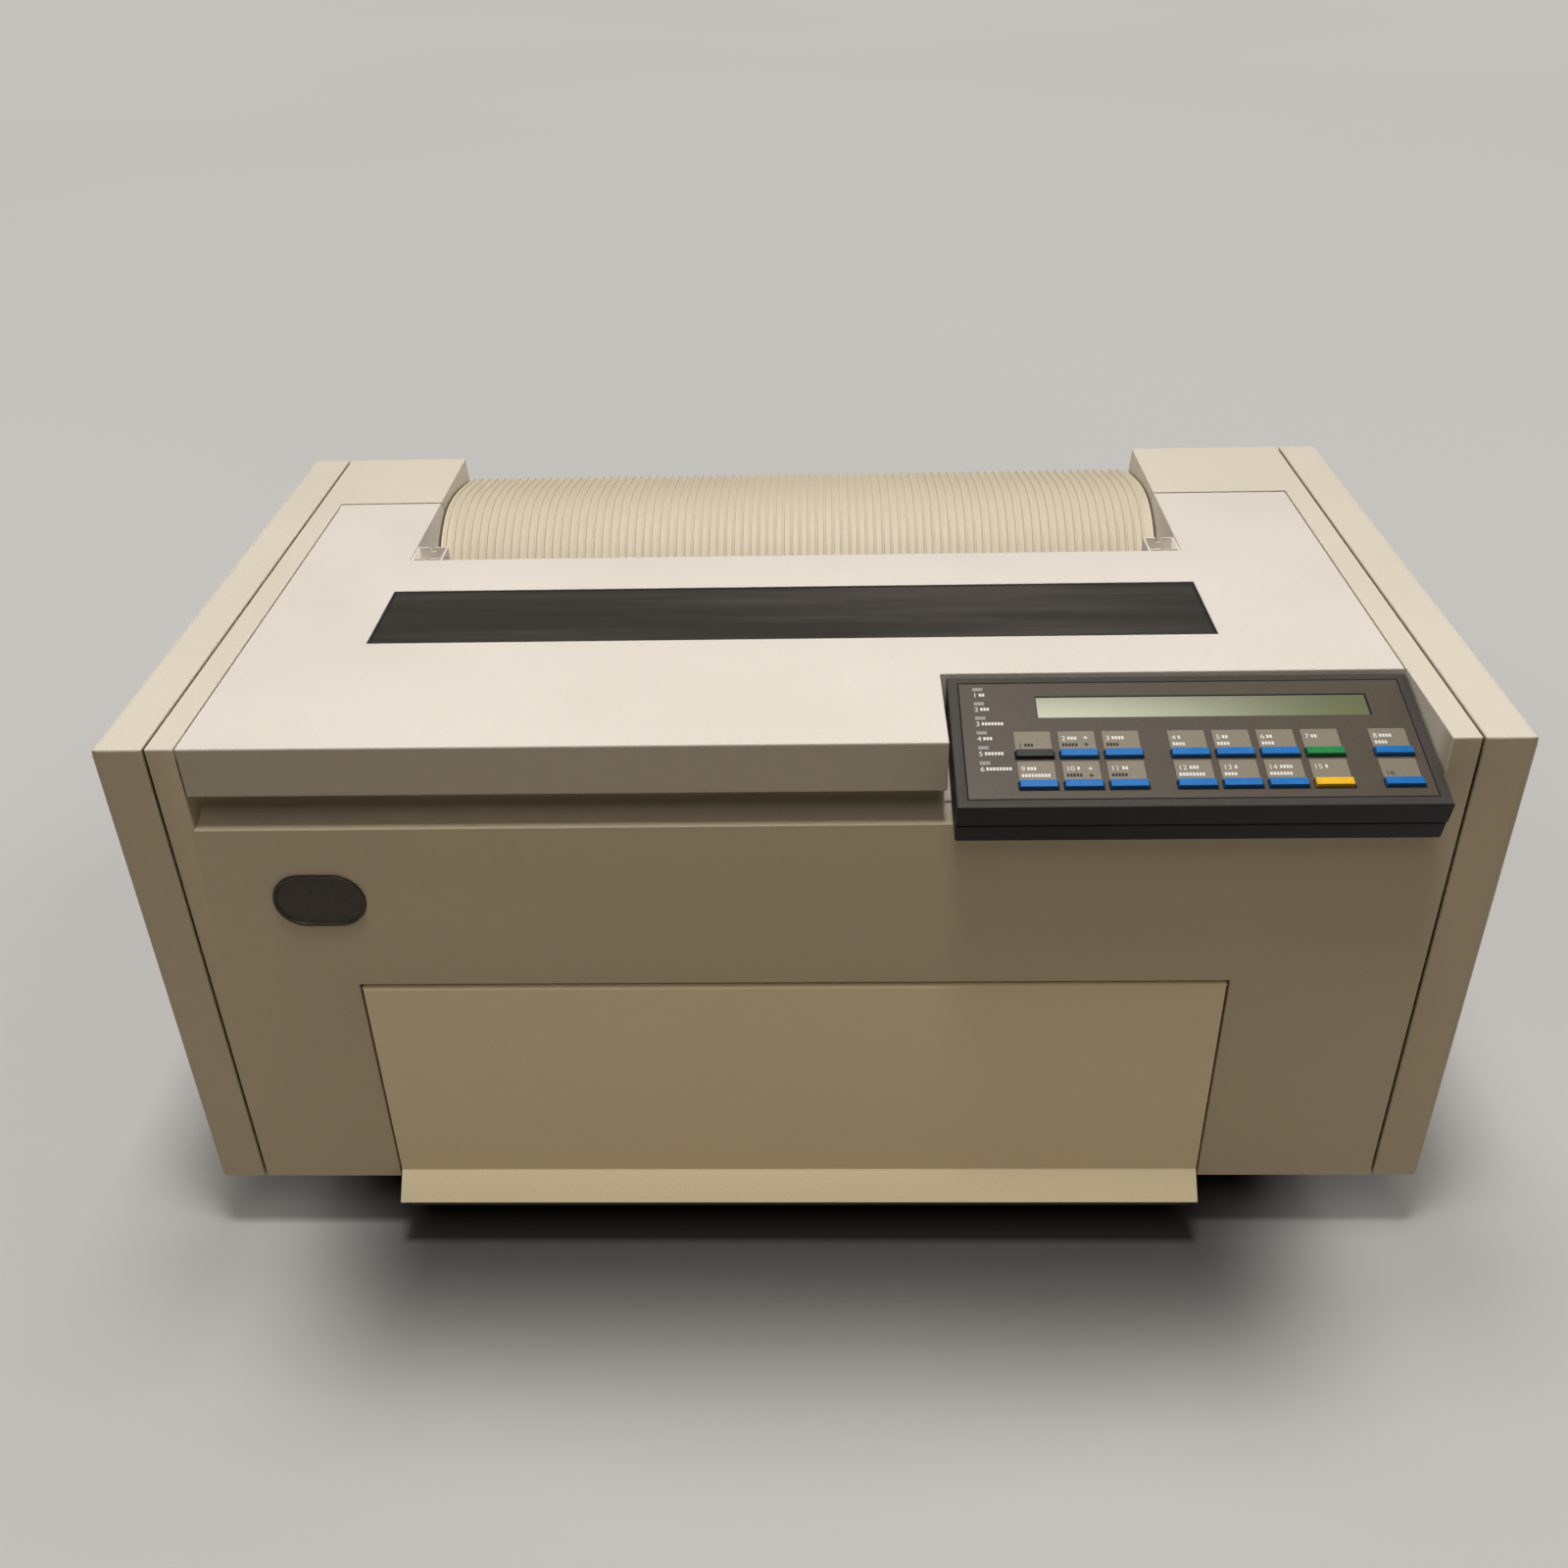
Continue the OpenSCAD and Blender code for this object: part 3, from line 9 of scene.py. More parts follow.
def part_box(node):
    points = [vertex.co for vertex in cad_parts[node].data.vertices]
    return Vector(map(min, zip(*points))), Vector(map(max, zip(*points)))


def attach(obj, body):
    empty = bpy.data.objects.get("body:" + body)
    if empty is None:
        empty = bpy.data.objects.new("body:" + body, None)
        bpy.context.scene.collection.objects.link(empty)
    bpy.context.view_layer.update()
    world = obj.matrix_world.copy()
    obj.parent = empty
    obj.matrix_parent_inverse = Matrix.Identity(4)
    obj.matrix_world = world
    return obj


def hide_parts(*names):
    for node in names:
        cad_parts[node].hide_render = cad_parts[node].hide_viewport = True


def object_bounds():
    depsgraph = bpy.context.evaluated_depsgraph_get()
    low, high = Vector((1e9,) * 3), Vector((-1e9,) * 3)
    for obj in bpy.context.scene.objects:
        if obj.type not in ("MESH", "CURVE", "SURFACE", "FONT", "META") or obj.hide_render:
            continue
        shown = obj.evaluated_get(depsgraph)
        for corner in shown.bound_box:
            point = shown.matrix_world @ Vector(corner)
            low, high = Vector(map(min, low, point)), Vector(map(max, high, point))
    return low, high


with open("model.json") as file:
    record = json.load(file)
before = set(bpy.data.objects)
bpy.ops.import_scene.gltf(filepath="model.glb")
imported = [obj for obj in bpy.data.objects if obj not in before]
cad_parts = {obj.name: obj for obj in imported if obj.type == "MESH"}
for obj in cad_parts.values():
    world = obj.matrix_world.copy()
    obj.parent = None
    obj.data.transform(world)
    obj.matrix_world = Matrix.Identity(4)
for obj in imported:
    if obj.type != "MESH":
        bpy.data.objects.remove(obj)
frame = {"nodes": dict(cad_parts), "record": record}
cad_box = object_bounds()

# ---- camera --------------------------------------------
# The printer is looked down on from the front, from about the height of the eyes
# of someone who stands at its table, through a slightly wide lens.
EYE = Vector((0.0109, -0.77355, 0.6551))
PITCH = 0.5689
ROLL = 0.0278
YAW = -0.0357
SENSOR_MM = 36
LENS_MM = 34.95
NEAREST = 0.02
ahead = Vector((math.sin(YAW) * math.cos(PITCH), math.cos(YAW) * math.cos(PITCH), -math.sin(PITCH)))
level = Vector((math.cos(YAW), -math.sin(YAW), 0))
down = ahead.cross(level)
right = level * math.cos(ROLL) + down * math.sin(ROLL)
down = down * math.cos(ROLL) - level * math.sin(ROLL)
camera = bpy.data.objects.new("camera", bpy.data.cameras.new("camera"))
camera.data.sensor_width = SENSOR_MM
camera.data.lens = LENS_MM
camera.data.clip_start = NEAREST
camera.matrix_world = Matrix.Translation(EYE) @ Matrix((right, -down, -ahead)).transposed().to_4x4()
bpy.context.scene.collection.objects.link(camera)
bpy.context.scene.camera = camera
bpy.context.scene.view_settings.view_transform = "Standard"

# ---- table, lamps and backdrop -------------------------
# A plain pale table top under two soft lamps, with three large dim ones at the
# sides and in front. A shadow is painted into its colour under the printer's front
# edge, and further off it turns into an even backdrop.
TABLE_HALF = 14
TABLE_NEAR, TABLE_FAR = 0.30, 0.80
SHADE_FRONT = (-0.37, -0.205)
SHADE_BACK = (-0.15, 0.0)
SHADE_SIDES = (0.20, 0.31)
SHADE_DEPTH = 0.86
MIX_FIRST, MIX_SECOND, MIX_RESULT = 6, 7, 2
LAMPS = {
    # name: place, aim, size, watts, colour
    "overhead": ((-0.05, 0.17, 1.95), (0.0, 0.17, 0.0), 0.45, 9.5, (0.98, 0.99, 1.0)),
    "over_front": ((0.0, -0.42, 2.0), (0.0, -0.2, 0.1), 0.3, 16, (0.99, 0.985, 0.97)),
    "left_room": ((-2.0, 0.5, 1.2), (0.0, 0.0, 0.2), 1.0, 10, (0.98, 0.99, 1.0)),
    "right_room": ((2.0, 0.5, 1.2), (0.0, 0.0, 0.2), 1.0, 14, (0.98, 0.99, 1.0)),
    "front_room": ((0.0, -1.2, 2.0), (0.0, 0.0, 0.2), 1.0, 7, (1.0, 0.95, 0.87)),
}


class Shade:
    """A shader socket that takes part in sums and products."""

    def __init__(self, socket):
        self.socket = socket

    def join(self, operation, first, second):
        node = self.socket.id_data.nodes.new("ShaderNodeMath")
        node.operation = operation
        plug(node.inputs[0], first)
        plug(node.inputs[1], second)
        return Shade(node.outputs[0])

    def __add__(self, other):
        return self.join("ADD", self, other)

    __radd__ = __add__

    def __sub__(self, other):
        return self.join("SUBTRACT", self, other)

    def __rsub__(self, other):
        return self.join("SUBTRACT", other, self)

    def __mul__(self, other):
        return self.join("MULTIPLY", self, other)

    __rmul__ = __mul__


def plug(socket, value):
    """Gives a socket a value, or a link from a Shade."""
    if isinstance(value, Shade):
        socket.id_data.links.new(value.socket, socket)
    else:
        socket.default_value = value


def add_node(tree, kind, output, settings=None, numbered=None, **named):
    """Adds a node, gives its sockets their values or links, and returns one of its outputs."""
    node = tree.nodes.new(kind)
    for key, value in (settings or {}).items():
        setattr(node, key, value)
    for number, value in (numbered or {}).items():
        plug(node.inputs[number], value)
    for key, value in named.items():
        plug(node.inputs[key.replace("_", " ")], value)
    return Shade(node.outputs[output])


def colour_between(tree, amount, first, second):
    """A colour between two others."""
    colours = {MIX_FIRST: first, MIX_SECOND: second}
    return add_node(tree, "ShaderNodeMix", MIX_RESULT, {"data_type": "RGBA"}, colours, Factor=amount)


def linear(red, green, blue):
    """A colour written in the usual 0 to 255 steps, as the light values that a shader takes."""
    parts = [c / 255 for c in (red, green, blue)]
    return (*[c / 12.92 if c <= 0.04045 else ((c + 0.055) / 1.055) ** 2.4 for c in parts], 1)


class Finish:
    """One material, made up of nodes round a single surface shader."""

    def __init__(self, name, colour, roughness, metallic=0.0, coat=0.0, specular=0.5):
        self.material = bpy.data.materials.new(name)
        self.material.use_nodes = True
        self.tree = self.material.node_tree
        self.surface = self.tree.nodes["Principled BSDF"]
        self.surface.inputs["Base Color"].default_value = colour
        self.surface.inputs["Roughness"].default_value = roughness
        self.surface.inputs["Metallic"].default_value = metallic
        self.surface.inputs["Coat Weight"].default_value = coat
        self.surface.inputs["Specular IOR Level"].default_value = specular
        self.place = self.node("ShaderNodeTexCoord", "Object")

    def node(self, kind, output, settings=None, **named):
        return add_node(self.tree, kind, output, settings, **named)

    def stretched(self, x, y, z):
        """Object coordinates scaled along each axis."""
        return self.node("ShaderNodeMapping", "Vector", Vector=self.place, Scale=(x, y, z))

    def along(self, axis):
        """One Object coordinate: X, Y or Z."""
        return self.node("ShaderNodeSeparateXYZ", axis, Vector=self.place)

    def noise(self, scale, detail=3.0, rough=0.55, place=None):
        place = place or self.place
        return self.node(
            "ShaderNodeTexNoise", "Fac", Vector=place, Scale=scale, Detail=detail, Roughness=rough
        )

    def step(self, value, low, high, first=0.0, last=1.0):
        """A smooth step of a value from first to last as it goes from low to high."""
        smooth = {"interpolation_type": "SMOOTHSTEP"}
        return self.node(
            "ShaderNodeMapRange", "Result", smooth, Value=value,
            From_Min=low, From_Max=high, To_Min=first, To_Max=last,
        )

    def mix(self, amount, first, second):
        return colour_between(self.tree, amount, first, second)

    def paint(self, colour):
        plug(self.surface.inputs["Base Color"], colour)

    def bump(self, height, depth):
        """A relief of a given depth in metres."""
        normal = self.node("ShaderNodeBump", "Normal", Height=height, Distance=depth)
        plug(self.surface.inputs["Normal"], normal)


table = bpy.data.objects.new("table", bpy.data.meshes.new("table"))
plane = bmesh.new()
bmesh.ops.create_grid(plane, x_segments=1, y_segments=1, size=TABLE_HALF)
plane.to_mesh(table.data)
bpy.context.scene.collection.objects.link(table)
top = Finish("table_top", linear(206, 204, 202), 0.75)
seen = top.node("ShaderNodeLightPath", "Is Camera Ray")
mirrored = top.node("ShaderNodeLightPath", "Is Glossy Ray")
cloud = top.step(top.noise(0.5, 1.0), 0.2, 0.8)
pale = top.mix(cloud, linear(198, 195, 191), linear(202, 199, 196))
# A painted shadow: the table's colour darkens in front of the printer and fades at its sides.
in_front = top.step(top.along("Y"), *SHADE_FRONT) * top.step(top.along("Y"), *SHADE_BACK, 1.0, 0.0)
beside = top.node("ShaderNodeMath", "Value", {"operation": "ABSOLUTE"}, Value=top.along("X"))
shade = in_front * top.step(beside, *SHADE_SIDES, 1.0, 0.0)
pale = top.mix(SHADE_DEPTH * shade, pale, linear(30, 29, 29))
away = top.node("ShaderNodeVectorMath", "Value", {"operation": "LENGTH"}, Vector=top.place)
far = top.step(away, TABLE_NEAR, TABLE_FAR)
lit = top.mix(far, pale, linear(20, 20, 20))
top.paint(top.mix(seen + mirrored, linear(205, 196, 183), lit))
wall_tone = top.mix(cloud, linear(192, 190, 185), linear(197, 194, 189))
plug(top.surface.inputs["Emission Color"], top.mix(far * (seen + mirrored), (0, 0, 0, 1), wall_tone))
top.surface.inputs["Emission Strength"].default_value = 1.0
table.data.materials.append(top.material)

for name, (place, aim, size, watts, colour) in LAMPS.items():
    lamp = bpy.data.objects.new(name, bpy.data.lights.new(name, "AREA"))
    lamp.data.size = size
    lamp.data.energy = watts
    lamp.data.color = colour
    lamp.location = place
    lamp.rotation_euler = (Vector(aim) - Vector(place)).to_track_quat("-Z", "Y").to_euler()
    bpy.context.scene.collection.objects.link(lamp)
world = bpy.data.worlds.new("room")
world.use_nodes = True
sky = world.node_tree.nodes["Background"]
straight = add_node(world.node_tree, "ShaderNodeLightPath", "Is Camera Ray")
backdrop = colour_between(world.node_tree, straight, (0.01, 0.01, 0.0105, 1), linear(194, 192, 187))
plug(sky.inputs["Color"], backdrop)
sky.inputs["Strength"].default_value = 1.0
bpy.context.scene.world = world

# ---- base pan ------------------------------------------
# A pressed steel pan, painted black with a fine texture, carries everything. Its
# flange holds the covers, and a black forms lip reaches out under the front door.
WELD = 0.00001
FLATNESS = math.radians(0.5)


def body_of(node):
    """The moving body that a node belongs to."""
    return next(b for b, nodes in frame["record"]["behaviour"]["bodies"].items() if node in nodes)


def slot_of(node):
    """The finish slot of a node in the parts record."""
    return next(s["material_slot"] for s in frame["record"]["subparts"] if s["node"] == node)


def piece(name, solid, finish, body, smooth=13):
    """Turns a bmesh into a named piece of the printer that rides on a body."""
    mesh = bpy.data.meshes.new(name)
    solid.to_mesh(mesh)
    solid.free()
    mesh.materials.clear()
    mesh.materials.append(finish.material)
    for face in mesh.polygons:
        face.use_smooth = True
    mesh.set_sharp_from_angle(angle=math.radians(smooth))
    made = bpy.data.objects.new(name, mesh)
    bpy.context.scene.collection.objects.link(made)
    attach(made, body)
    return made


def merged(node):
    """A copy of a node's mesh with its triangles joined into whole faces."""
    solid = bmesh.new()
    solid.from_mesh(frame["nodes"][node].data)
    bmesh.ops.remove_doubles(solid, verts=solid.verts, dist=WELD)
    bmesh.ops.dissolve_limit(solid, angle_limit=FLATNESS, verts=solid.verts, edges=solid.edges)
    return solid


def round_off(solid, edges, radius, segments=3, clamp=False):
    """Rounds a set of edges."""
    bmesh.ops.bevel(
        solid, geom=edges, offset=radius, offset_type="OFFSET", segments=segments, profile=0.5,
        affect="EDGES", clamp_overlap=clamp, material=-1,
    )


def sharp_edges(solid, shortest, sharpest=30):
    """The edges of a solid that are long enough and sharp enough to be rounded."""
    return [
        e
        for e in solid.edges
        if len(e.link_faces) == 2
        and e.calc_length() > shortest
        and e.calc_face_angle(0) > math.radians(sharpest)
    ]


def soften(node, finish, radius, shortest=0.004, rim=None):
    """Stands for a node with the same shape, its sharp edges rounded as in a mould or a press."""
    solid = merged(node)
    if rim:
        reach, least, rim_radius = rim
        outer = [e for e in sharp_edges(solid, least) if all(abs(v.co.x) > reach for v in e.verts)]
        round_off(solid, outer, rim_radius, 5)
    round_off(solid, sharp_edges(solid, shortest), radius)
    made = piece(node + "_moulded", solid, finish, body_of(node))
    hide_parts(node)


pan_paint = Finish("black_pan_paint", linear(38, 38, 38), 0.5)
grit = pan_paint.noise(900, 2.0)
worn = pan_paint.step(pan_paint.noise(14, 4.0), 0.6, 0.72)
pan_paint.paint(pan_paint.mix(worn * 0.35, linear(36, 36, 36), linear(62, 60, 57)))
plug(pan_paint.surface.inputs["Roughness"], 0.42 + 0.2 * grit)
pan_paint.bump(grit, 0.00015)
soften("base_pan", pan_paint, 0.0008)

# ---- rubber feet ---------------------------------------
# Four turned feet of black rubber, dusty from the table. Each is hollow in its
# middle, where a screw holds it up to the pan.
foot_rubber = Finish("foot_rubber", linear(30, 30, 31), 0.8)
dust = foot_rubber.step(foot_rubber.noise(60, 4.0), 0.45, 0.7)
foot_rubber.paint(foot_rubber.mix(dust * 0.5, linear(26, 26, 27), linear(66, 62, 58)))
foot_rubber.bump(foot_rubber.noise(700, 2.0), 0.0002)
soften("rubber_feet", foot_rubber, 0.0012)

# ---- power supply and board ----------------------------
# A plated steel case with slots in its lid holds the power supply. Beside it lies a
# green circuit board with black chips, and with capacitors, crystals and sockets
# for the cables.
BOARD_X0 = -0.040
BOARD_TOP = 0.0292
SINK = 0.0001
CAPACITORS = (
    # x, y, radius, height
    (-0.024, 0.052, 0.0062, 0.020), (-0.008, 0.052, 0.0062, 0.020), (0.008, 0.052, 0.0062, 0.020),
    (0.030, 0.050, 0.0045, 0.013), (0.042, 0.050, 0.0045, 0.013), (0.170, 0.098, 0.0045, 0.013),
    (0.184, 0.098, 0.0045, 0.013), (0.184, 0.130, 0.0062, 0.018),
)
NECK_AT, NECK_H, NECK_IN = 0.12, 0.0008, 0.9
SLEEVE_H, SHOULDER_H, SHOULDER_IN = 0.84, 0.0006, 0.88
DISC_W, DISC_T, DISC_IN = 0.8, 0.0003, 0.94
CRYSTALS_X, CRYSTAL_Y, CRYSTAL_R = (0.060, 0.076), 0.052, 0.0046
CRYSTAL_FOOT, CRYSTAL_H, CRYSTAL_IN = 0.0006, 0.0032, 0.86
HEADERS = (
    # left, right, front
    (0.060, 0.118, 0.166), (0.140, 0.180, 0.166), (0.100, 0.150, 0.048), (-0.032, -0.004, 0.166),
)
HEADER_D, HEADER_H, HEADER_WALL = 0.009, 0.009, 0.0015
PIN_PITCH, PIN_T, PIN_IN, PIN_ROWS = 0.00254, 0.0006, 0.003, (0.0032, 0.0057)
PIN_FOOT, PIN_TIP = 0.001, 0.0075
CASE_W, CASE_D = 0.145, 0.146
VENT_ROWS, VENT_COLUMNS = 4, 9
VENT_W, VENT_L = 0.0028, 0.020
VENT_X0, VENT_Y0, VENT_PITCH_X, VENT_PITCH_Y = 0.018, 0.030, 0.012, 0.026
SCREW_R = 0.0035
HEAD_EDGE, HEAD_DOME, DOME_TOP = 0.35, 0.25, 0.75
RECESS_W, RECESS_FOOT, RECESS_D, RECESS_WAIST = 0.72, 0.8, 0.35, 0.42
ARMS_FROM, ARMS_TO = 25, 65


def refinish(node, finish):
    """Keeps a node's own mesh and gives it a finish."""
    materials = frame["nodes"][node].data.materials
    materials.clear()
    materials.append(finish.material)


def slab(solid, x0, x1, y0, y1, z0, z1):
    """Adds a block between two corners."""
    made = bmesh.ops.create_cube(solid, size=1)["verts"]
    bmesh.ops.scale(solid, vec=(x1 - x0, y1 - y0, z1 - z0), verts=made)
    bmesh.ops.translate(solid, vec=((x0 + x1) / 2, (y0 + y1) / 2, (z0 + z1) / 2), verts=made)
    return made


def grow(solid, face, way, widen=1.0):
    """Extrudes a face along a way, widens or narrows its far end, and returns that end."""
    geom = bmesh.ops.extrude_face_region(solid, geom=[face])["geom"]
    end = next(g for g in geom if isinstance(g, bmesh.types.BMFace))
    middle = Matrix.Translation(-end.calc_center_median())
    bmesh.ops.scale(solid, vec=(widen, widen, widen), space=middle, verts=end.verts[:])
    bmesh.ops.translate(solid, vec=way, verts=end.verts[:])
    return end


def disc(solid, radius, place, segments=24):
    """Adds a flat disc at a place and returns its face."""
    ring = bmesh.ops.create_circle(solid, cap_ends=True, segments=segments, radius=radius)["verts"]
    bmesh.ops.translate(solid, vec=place, verts=ring)
    return ring[0].link_faces[0]


def gather(target, extra):
    """Adds one bmesh to another."""
    mesh = bpy.data.meshes.new("gathered")
    extra.to_mesh(mesh)
    extra.free()
    target.from_mesh(mesh)
    bpy.data.meshes.remove(mesh)


def screw(solid, radius, place):
    """Adds a screw head with a cross recess, its top along Z of a frame."""
    head = bmesh.new()
    crown = grow(head, disc(head, radius, Vector()), Vector((0, 0, HEAD_EDGE * radius)))
    crown = grow(head, crown, Vector((0, 0, HEAD_DOME * radius)), DOME_TOP)
    crown = grow(head, crown, Vector(), RECESS_W)
    turns = {v: math.degrees(math.atan2(v.co.y, v.co.x)) % 90 for v in crown.verts}
    between = [v for v, turn in turns.items() if ARMS_FROM < turn < ARMS_TO]
    bmesh.ops.scale(head, vec=(RECESS_WAIST, RECESS_WAIST, 1), verts=between)
    grow(head, crown, Vector((0, 0, -RECESS_D * radius)), RECESS_FOOT)
    bmesh.ops.recalc_face_normals(head, faces=head.faces)
    bmesh.ops.transform(head, matrix=place, verts=head.verts)
    gather(solid, head)


steel_case = Finish("steel_case", linear(150, 152, 150), 0.42)
plate_grain = steel_case.noise(150, 4.0)
plate = steel_case.mix(plate_grain, linear(136, 138, 134), linear(168, 168, 162))
tracks = steel_case.node(
    "ShaderNodeTexBrick", "Fac", Vector=steel_case.place, Scale=60.0, Mortar_Size=0.012, Mortar_Smooth=0.1
)
mask = steel_case.mix(tracks, linear(22, 84, 52), linear(44, 116, 78))
is_board = steel_case.step(steel_case.along("X"), BOARD_X0 - 0.001, BOARD_X0 - 0.0005)
is_chip = steel_case.step(steel_case.along("Z"), BOARD_TOP, BOARD_TOP + 0.0002)
chip = steel_case.mix(steel_case.noise(900), linear(28, 28, 30), linear(40, 40, 42))
steel_case.paint(steel_case.mix(is_board, plate, steel_case.mix(is_chip, mask, chip)))
plug(steel_case.surface.inputs["Metallic"], 0.85 - 0.85 * is_board)
refinish("electronics", steel_case)

sleeve = Finish("capacitor_sleeve", linear(34, 46, 86), 0.35)
sleeve.paint(sleeve.mix(sleeve.noise(200, 3.0), linear(28, 40, 78), linear(46, 58, 98)))
plated = Finish("plated_screws", linear(168, 170, 168), 0.34, metallic=1.0)
worn_plate = plated.step(plated.noise(300, 4.0, 0.7), 0.4, 0.7)
plated.paint(plated.mix(worn_plate, linear(152, 154, 150), linear(188, 188, 182)))
plug(plated.surface.inputs["Roughness"], 0.28 + 0.2 * worn_plate)
cans = bmesh.new()
bare_tops = bmesh.new()
for x, y, radius, height in CAPACITORS:
    end = grow(cans, disc(cans, radius, (x, y, BOARD_TOP - SINK)), Vector((0, 0, height * NECK_AT)))
    end = grow(cans, end, Vector((0, 0, NECK_H)), NECK_IN)
    end = grow(cans, end, Vector((0, 0, NECK_H)), 1 / NECK_IN)
    end = grow(cans, end, Vector((0, 0, height * SLEEVE_H)))
    grow(cans, end, Vector((0, 0, SHOULDER_H)), SHOULDER_IN)
    can_top = BOARD_TOP + height * (NECK_AT + SLEEVE_H) + 2 * NECK_H + 0.0005
    end = disc(bare_tops, radius * DISC_W, (x, y, can_top))
    end = grow(bare_tops, end, Vector((0, 0, DISC_T)), DISC_IN)
    grow(bare_tops, end, Vector((0, 0, -0.0002)), 0.5)
for x in CRYSTALS_X:
    can = disc(bare_tops, CRYSTAL_R, Vector(), 20)
    bmesh.ops.scale(bare_tops, vec=(1.2, 0.5, 1), verts=can.verts)
    bmesh.ops.translate(bare_tops, vec=(x, CRYSTAL_Y, BOARD_TOP - SINK), verts=can.verts)
    end = grow(bare_tops, can, Vector((0, 0, CRYSTAL_FOOT)))
    end = grow(bare_tops, end, Vector(), CRYSTAL_IN)
    end = grow(bare_tops, end, Vector((0, 0, CRYSTAL_H)))
    grow(bare_tops, end, Vector((0, 0, 0.0005)), 0.85)
for solid in (cans, bare_tops):
    bmesh.ops.recalc_face_normals(solid, faces=solid.faces)
piece("capacitors", cans, sleeve, "chassis", 35)
piece("capacitor_tops", bare_tops, plated, "chassis", 35)

black_plastic = Finish("black_moulding", linear(40, 40, 42), 0.45)
pits = black_plastic.noise(900, 2.0)
black_plastic.paint(black_plastic.mix(pits, linear(36, 36, 38), linear(50, 50, 52)))
black_plastic.bump(pits, 0.00012)
headers = bmesh.new()
header_pins = bmesh.new()
foot_z = BOARD_TOP - SINK
for x0, x1, y0 in HEADERS:
    y1 = y0 + HEADER_D
    slab(headers, x0, x1, y0, y0 + HEADER_WALL, foot_z, BOARD_TOP + HEADER_H)
    slab(headers, x0, x1, y1 - HEADER_WALL, y1, foot_z, BOARD_TOP + HEADER_H)
    slab(headers, x0, x0 + HEADER_WALL, y0, y1, foot_z, BOARD_TOP + HEADER_H)
    slab(headers, x1 - HEADER_WALL, x1, y0, y1, foot_z, BOARD_TOP + HEADER_H)
    slab(headers, x0, x1, y0, y1, foot_z, BOARD_TOP + HEADER_WALL)
    for pin in range(int((x1 - x0 - 2 * PIN_IN) / PIN_PITCH)):
        x = x0 + PIN_IN + PIN_PITCH * pin
        for y in (y0 + row for row in PIN_ROWS):
            slab(header_pins, x, x + PIN_T, y, y + PIN_T, BOARD_TOP + PIN_FOOT, BOARD_TOP + PIN_TIP)
piece("board_headers", headers, black_plastic, "chassis")
piece("header_pins", header_pins, plated, "chassis")

# A matt black that paints the shade in slots and gaps.
black_painted_shade = Finish("black_painted_shade", linear(14, 14, 16), 0.9)
shade_speckle = black_painted_shade.noise(1300, 2.0)
black_painted_shade.paint(black_painted_shade.mix(shade_speckle, linear(10, 10, 12), linear(24, 23, 24)))
black_painted_shade.bump(shade_speckle, 0.0001)
case_low, case_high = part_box("electronics")
case_top = case_high.z
# The slots in the case lid are dark patches laid over it: painted shade in the slots.
vent_shade = bmesh.new()
for row in range(VENT_ROWS):
    for column in range(VENT_COLUMNS):
        x = case_low.x + VENT_X0 + VENT_PITCH_X * column
        y = case_low.y + VENT_Y0 + VENT_PITCH_Y * row
        slab(vent_shade, x, x + VENT_W, y, y + VENT_L, case_top - 0.0005, case_top + 0.00006)
piece("case_vent_shade", vent_shade, black_painted_shade, "chassis")
lid_screws = bmesh.new()
for x in (case_low.x + 2 * SCREW_R, case_low.x + CASE_W - 2 * SCREW_R):
    for y in (case_low.y + 2 * SCREW_R, case_low.y + CASE_D - 2 * SCREW_R):
        screw(lid_screws, SCREW_R, Matrix.Translation((x, y, case_top)))
piece("case_lid_screws", lid_screws, plated, "chassis")

# ---- side frames ---------------------------------------
# Two zinc-plated steel plates, cut out to save weight, stand on the pan and carry
# the rods, the platen and the motors between them.
zinc = Finish("zinc_plate", linear(158, 160, 156), 0.4, metallic=0.9)
spangle = zinc.noise(120, 4.0, 0.6)
zinc.paint(zinc.mix(zinc.step(spangle, 0.35, 0.7), linear(140, 143, 138), linear(176, 176, 166)))
plug(zinc.surface.inputs["Roughness"], 0.32 + 0.25 * spangle)
for node in ("left_frame", "right_frame"):
    soften(node, zinc, 0.0004, shortest=0.006)

# ---- platen, shafts and feed gears ---------------------
# A rubber-covered platen turns on a ground steel shaft. A brass pinion drives its gear
# and, through a nylon idler, the shaft that turns both sprockets.
platen_rubber = Finish("platen_rubber", linear(34, 34, 36), 0.62)
matte = platen_rubber.noise(500, 3.0, 0.6, platen_rubber.stretched(0.2, 1, 1))
platen_rubber.paint(platen_rubber.mix(matte, linear(30, 30, 32), linear(46, 45, 45)))
platen_rubber.bump(matte, 0.0001)
refinish("platen", platen_rubber)
ground_steel = Finish("ground_steel", linear(176, 178, 182), 0.28, metallic=1.0)
rings = ground_steel.noise(160, 3.0, 0.6, ground_steel.stretched(9, 1, 1))
ground_steel.paint(ground_steel.mix(rings, linear(160, 162, 166), linear(196, 197, 199)))
plug(ground_steel.surface.inputs["Roughness"], 0.2 + 0.2 * rings)
for node in ("platen_shaft", "guide_rods", "tractor_shaft", "drive_pulley", "tension_pulley"):
    refinish(node, ground_steel)
nylon = Finish("white_nylon", linear(222, 218, 200), 0.4)
nylon.paint(nylon.mix(nylon.noise(90, 3.0), linear(214, 209, 190), linear(230, 227, 212)))
for node in ("idler_gear", "left_sprocket", "right_sprocket"):
    refinish(node, nylon)
brass = Finish("cut_brass", linear(196, 160, 90), 0.3, metallic=1.0)
brass.paint(brass.mix(brass.noise(200, 3.0), linear(180, 144, 78), linear(210, 176, 104)))
refinish("feed_pinion", brass)

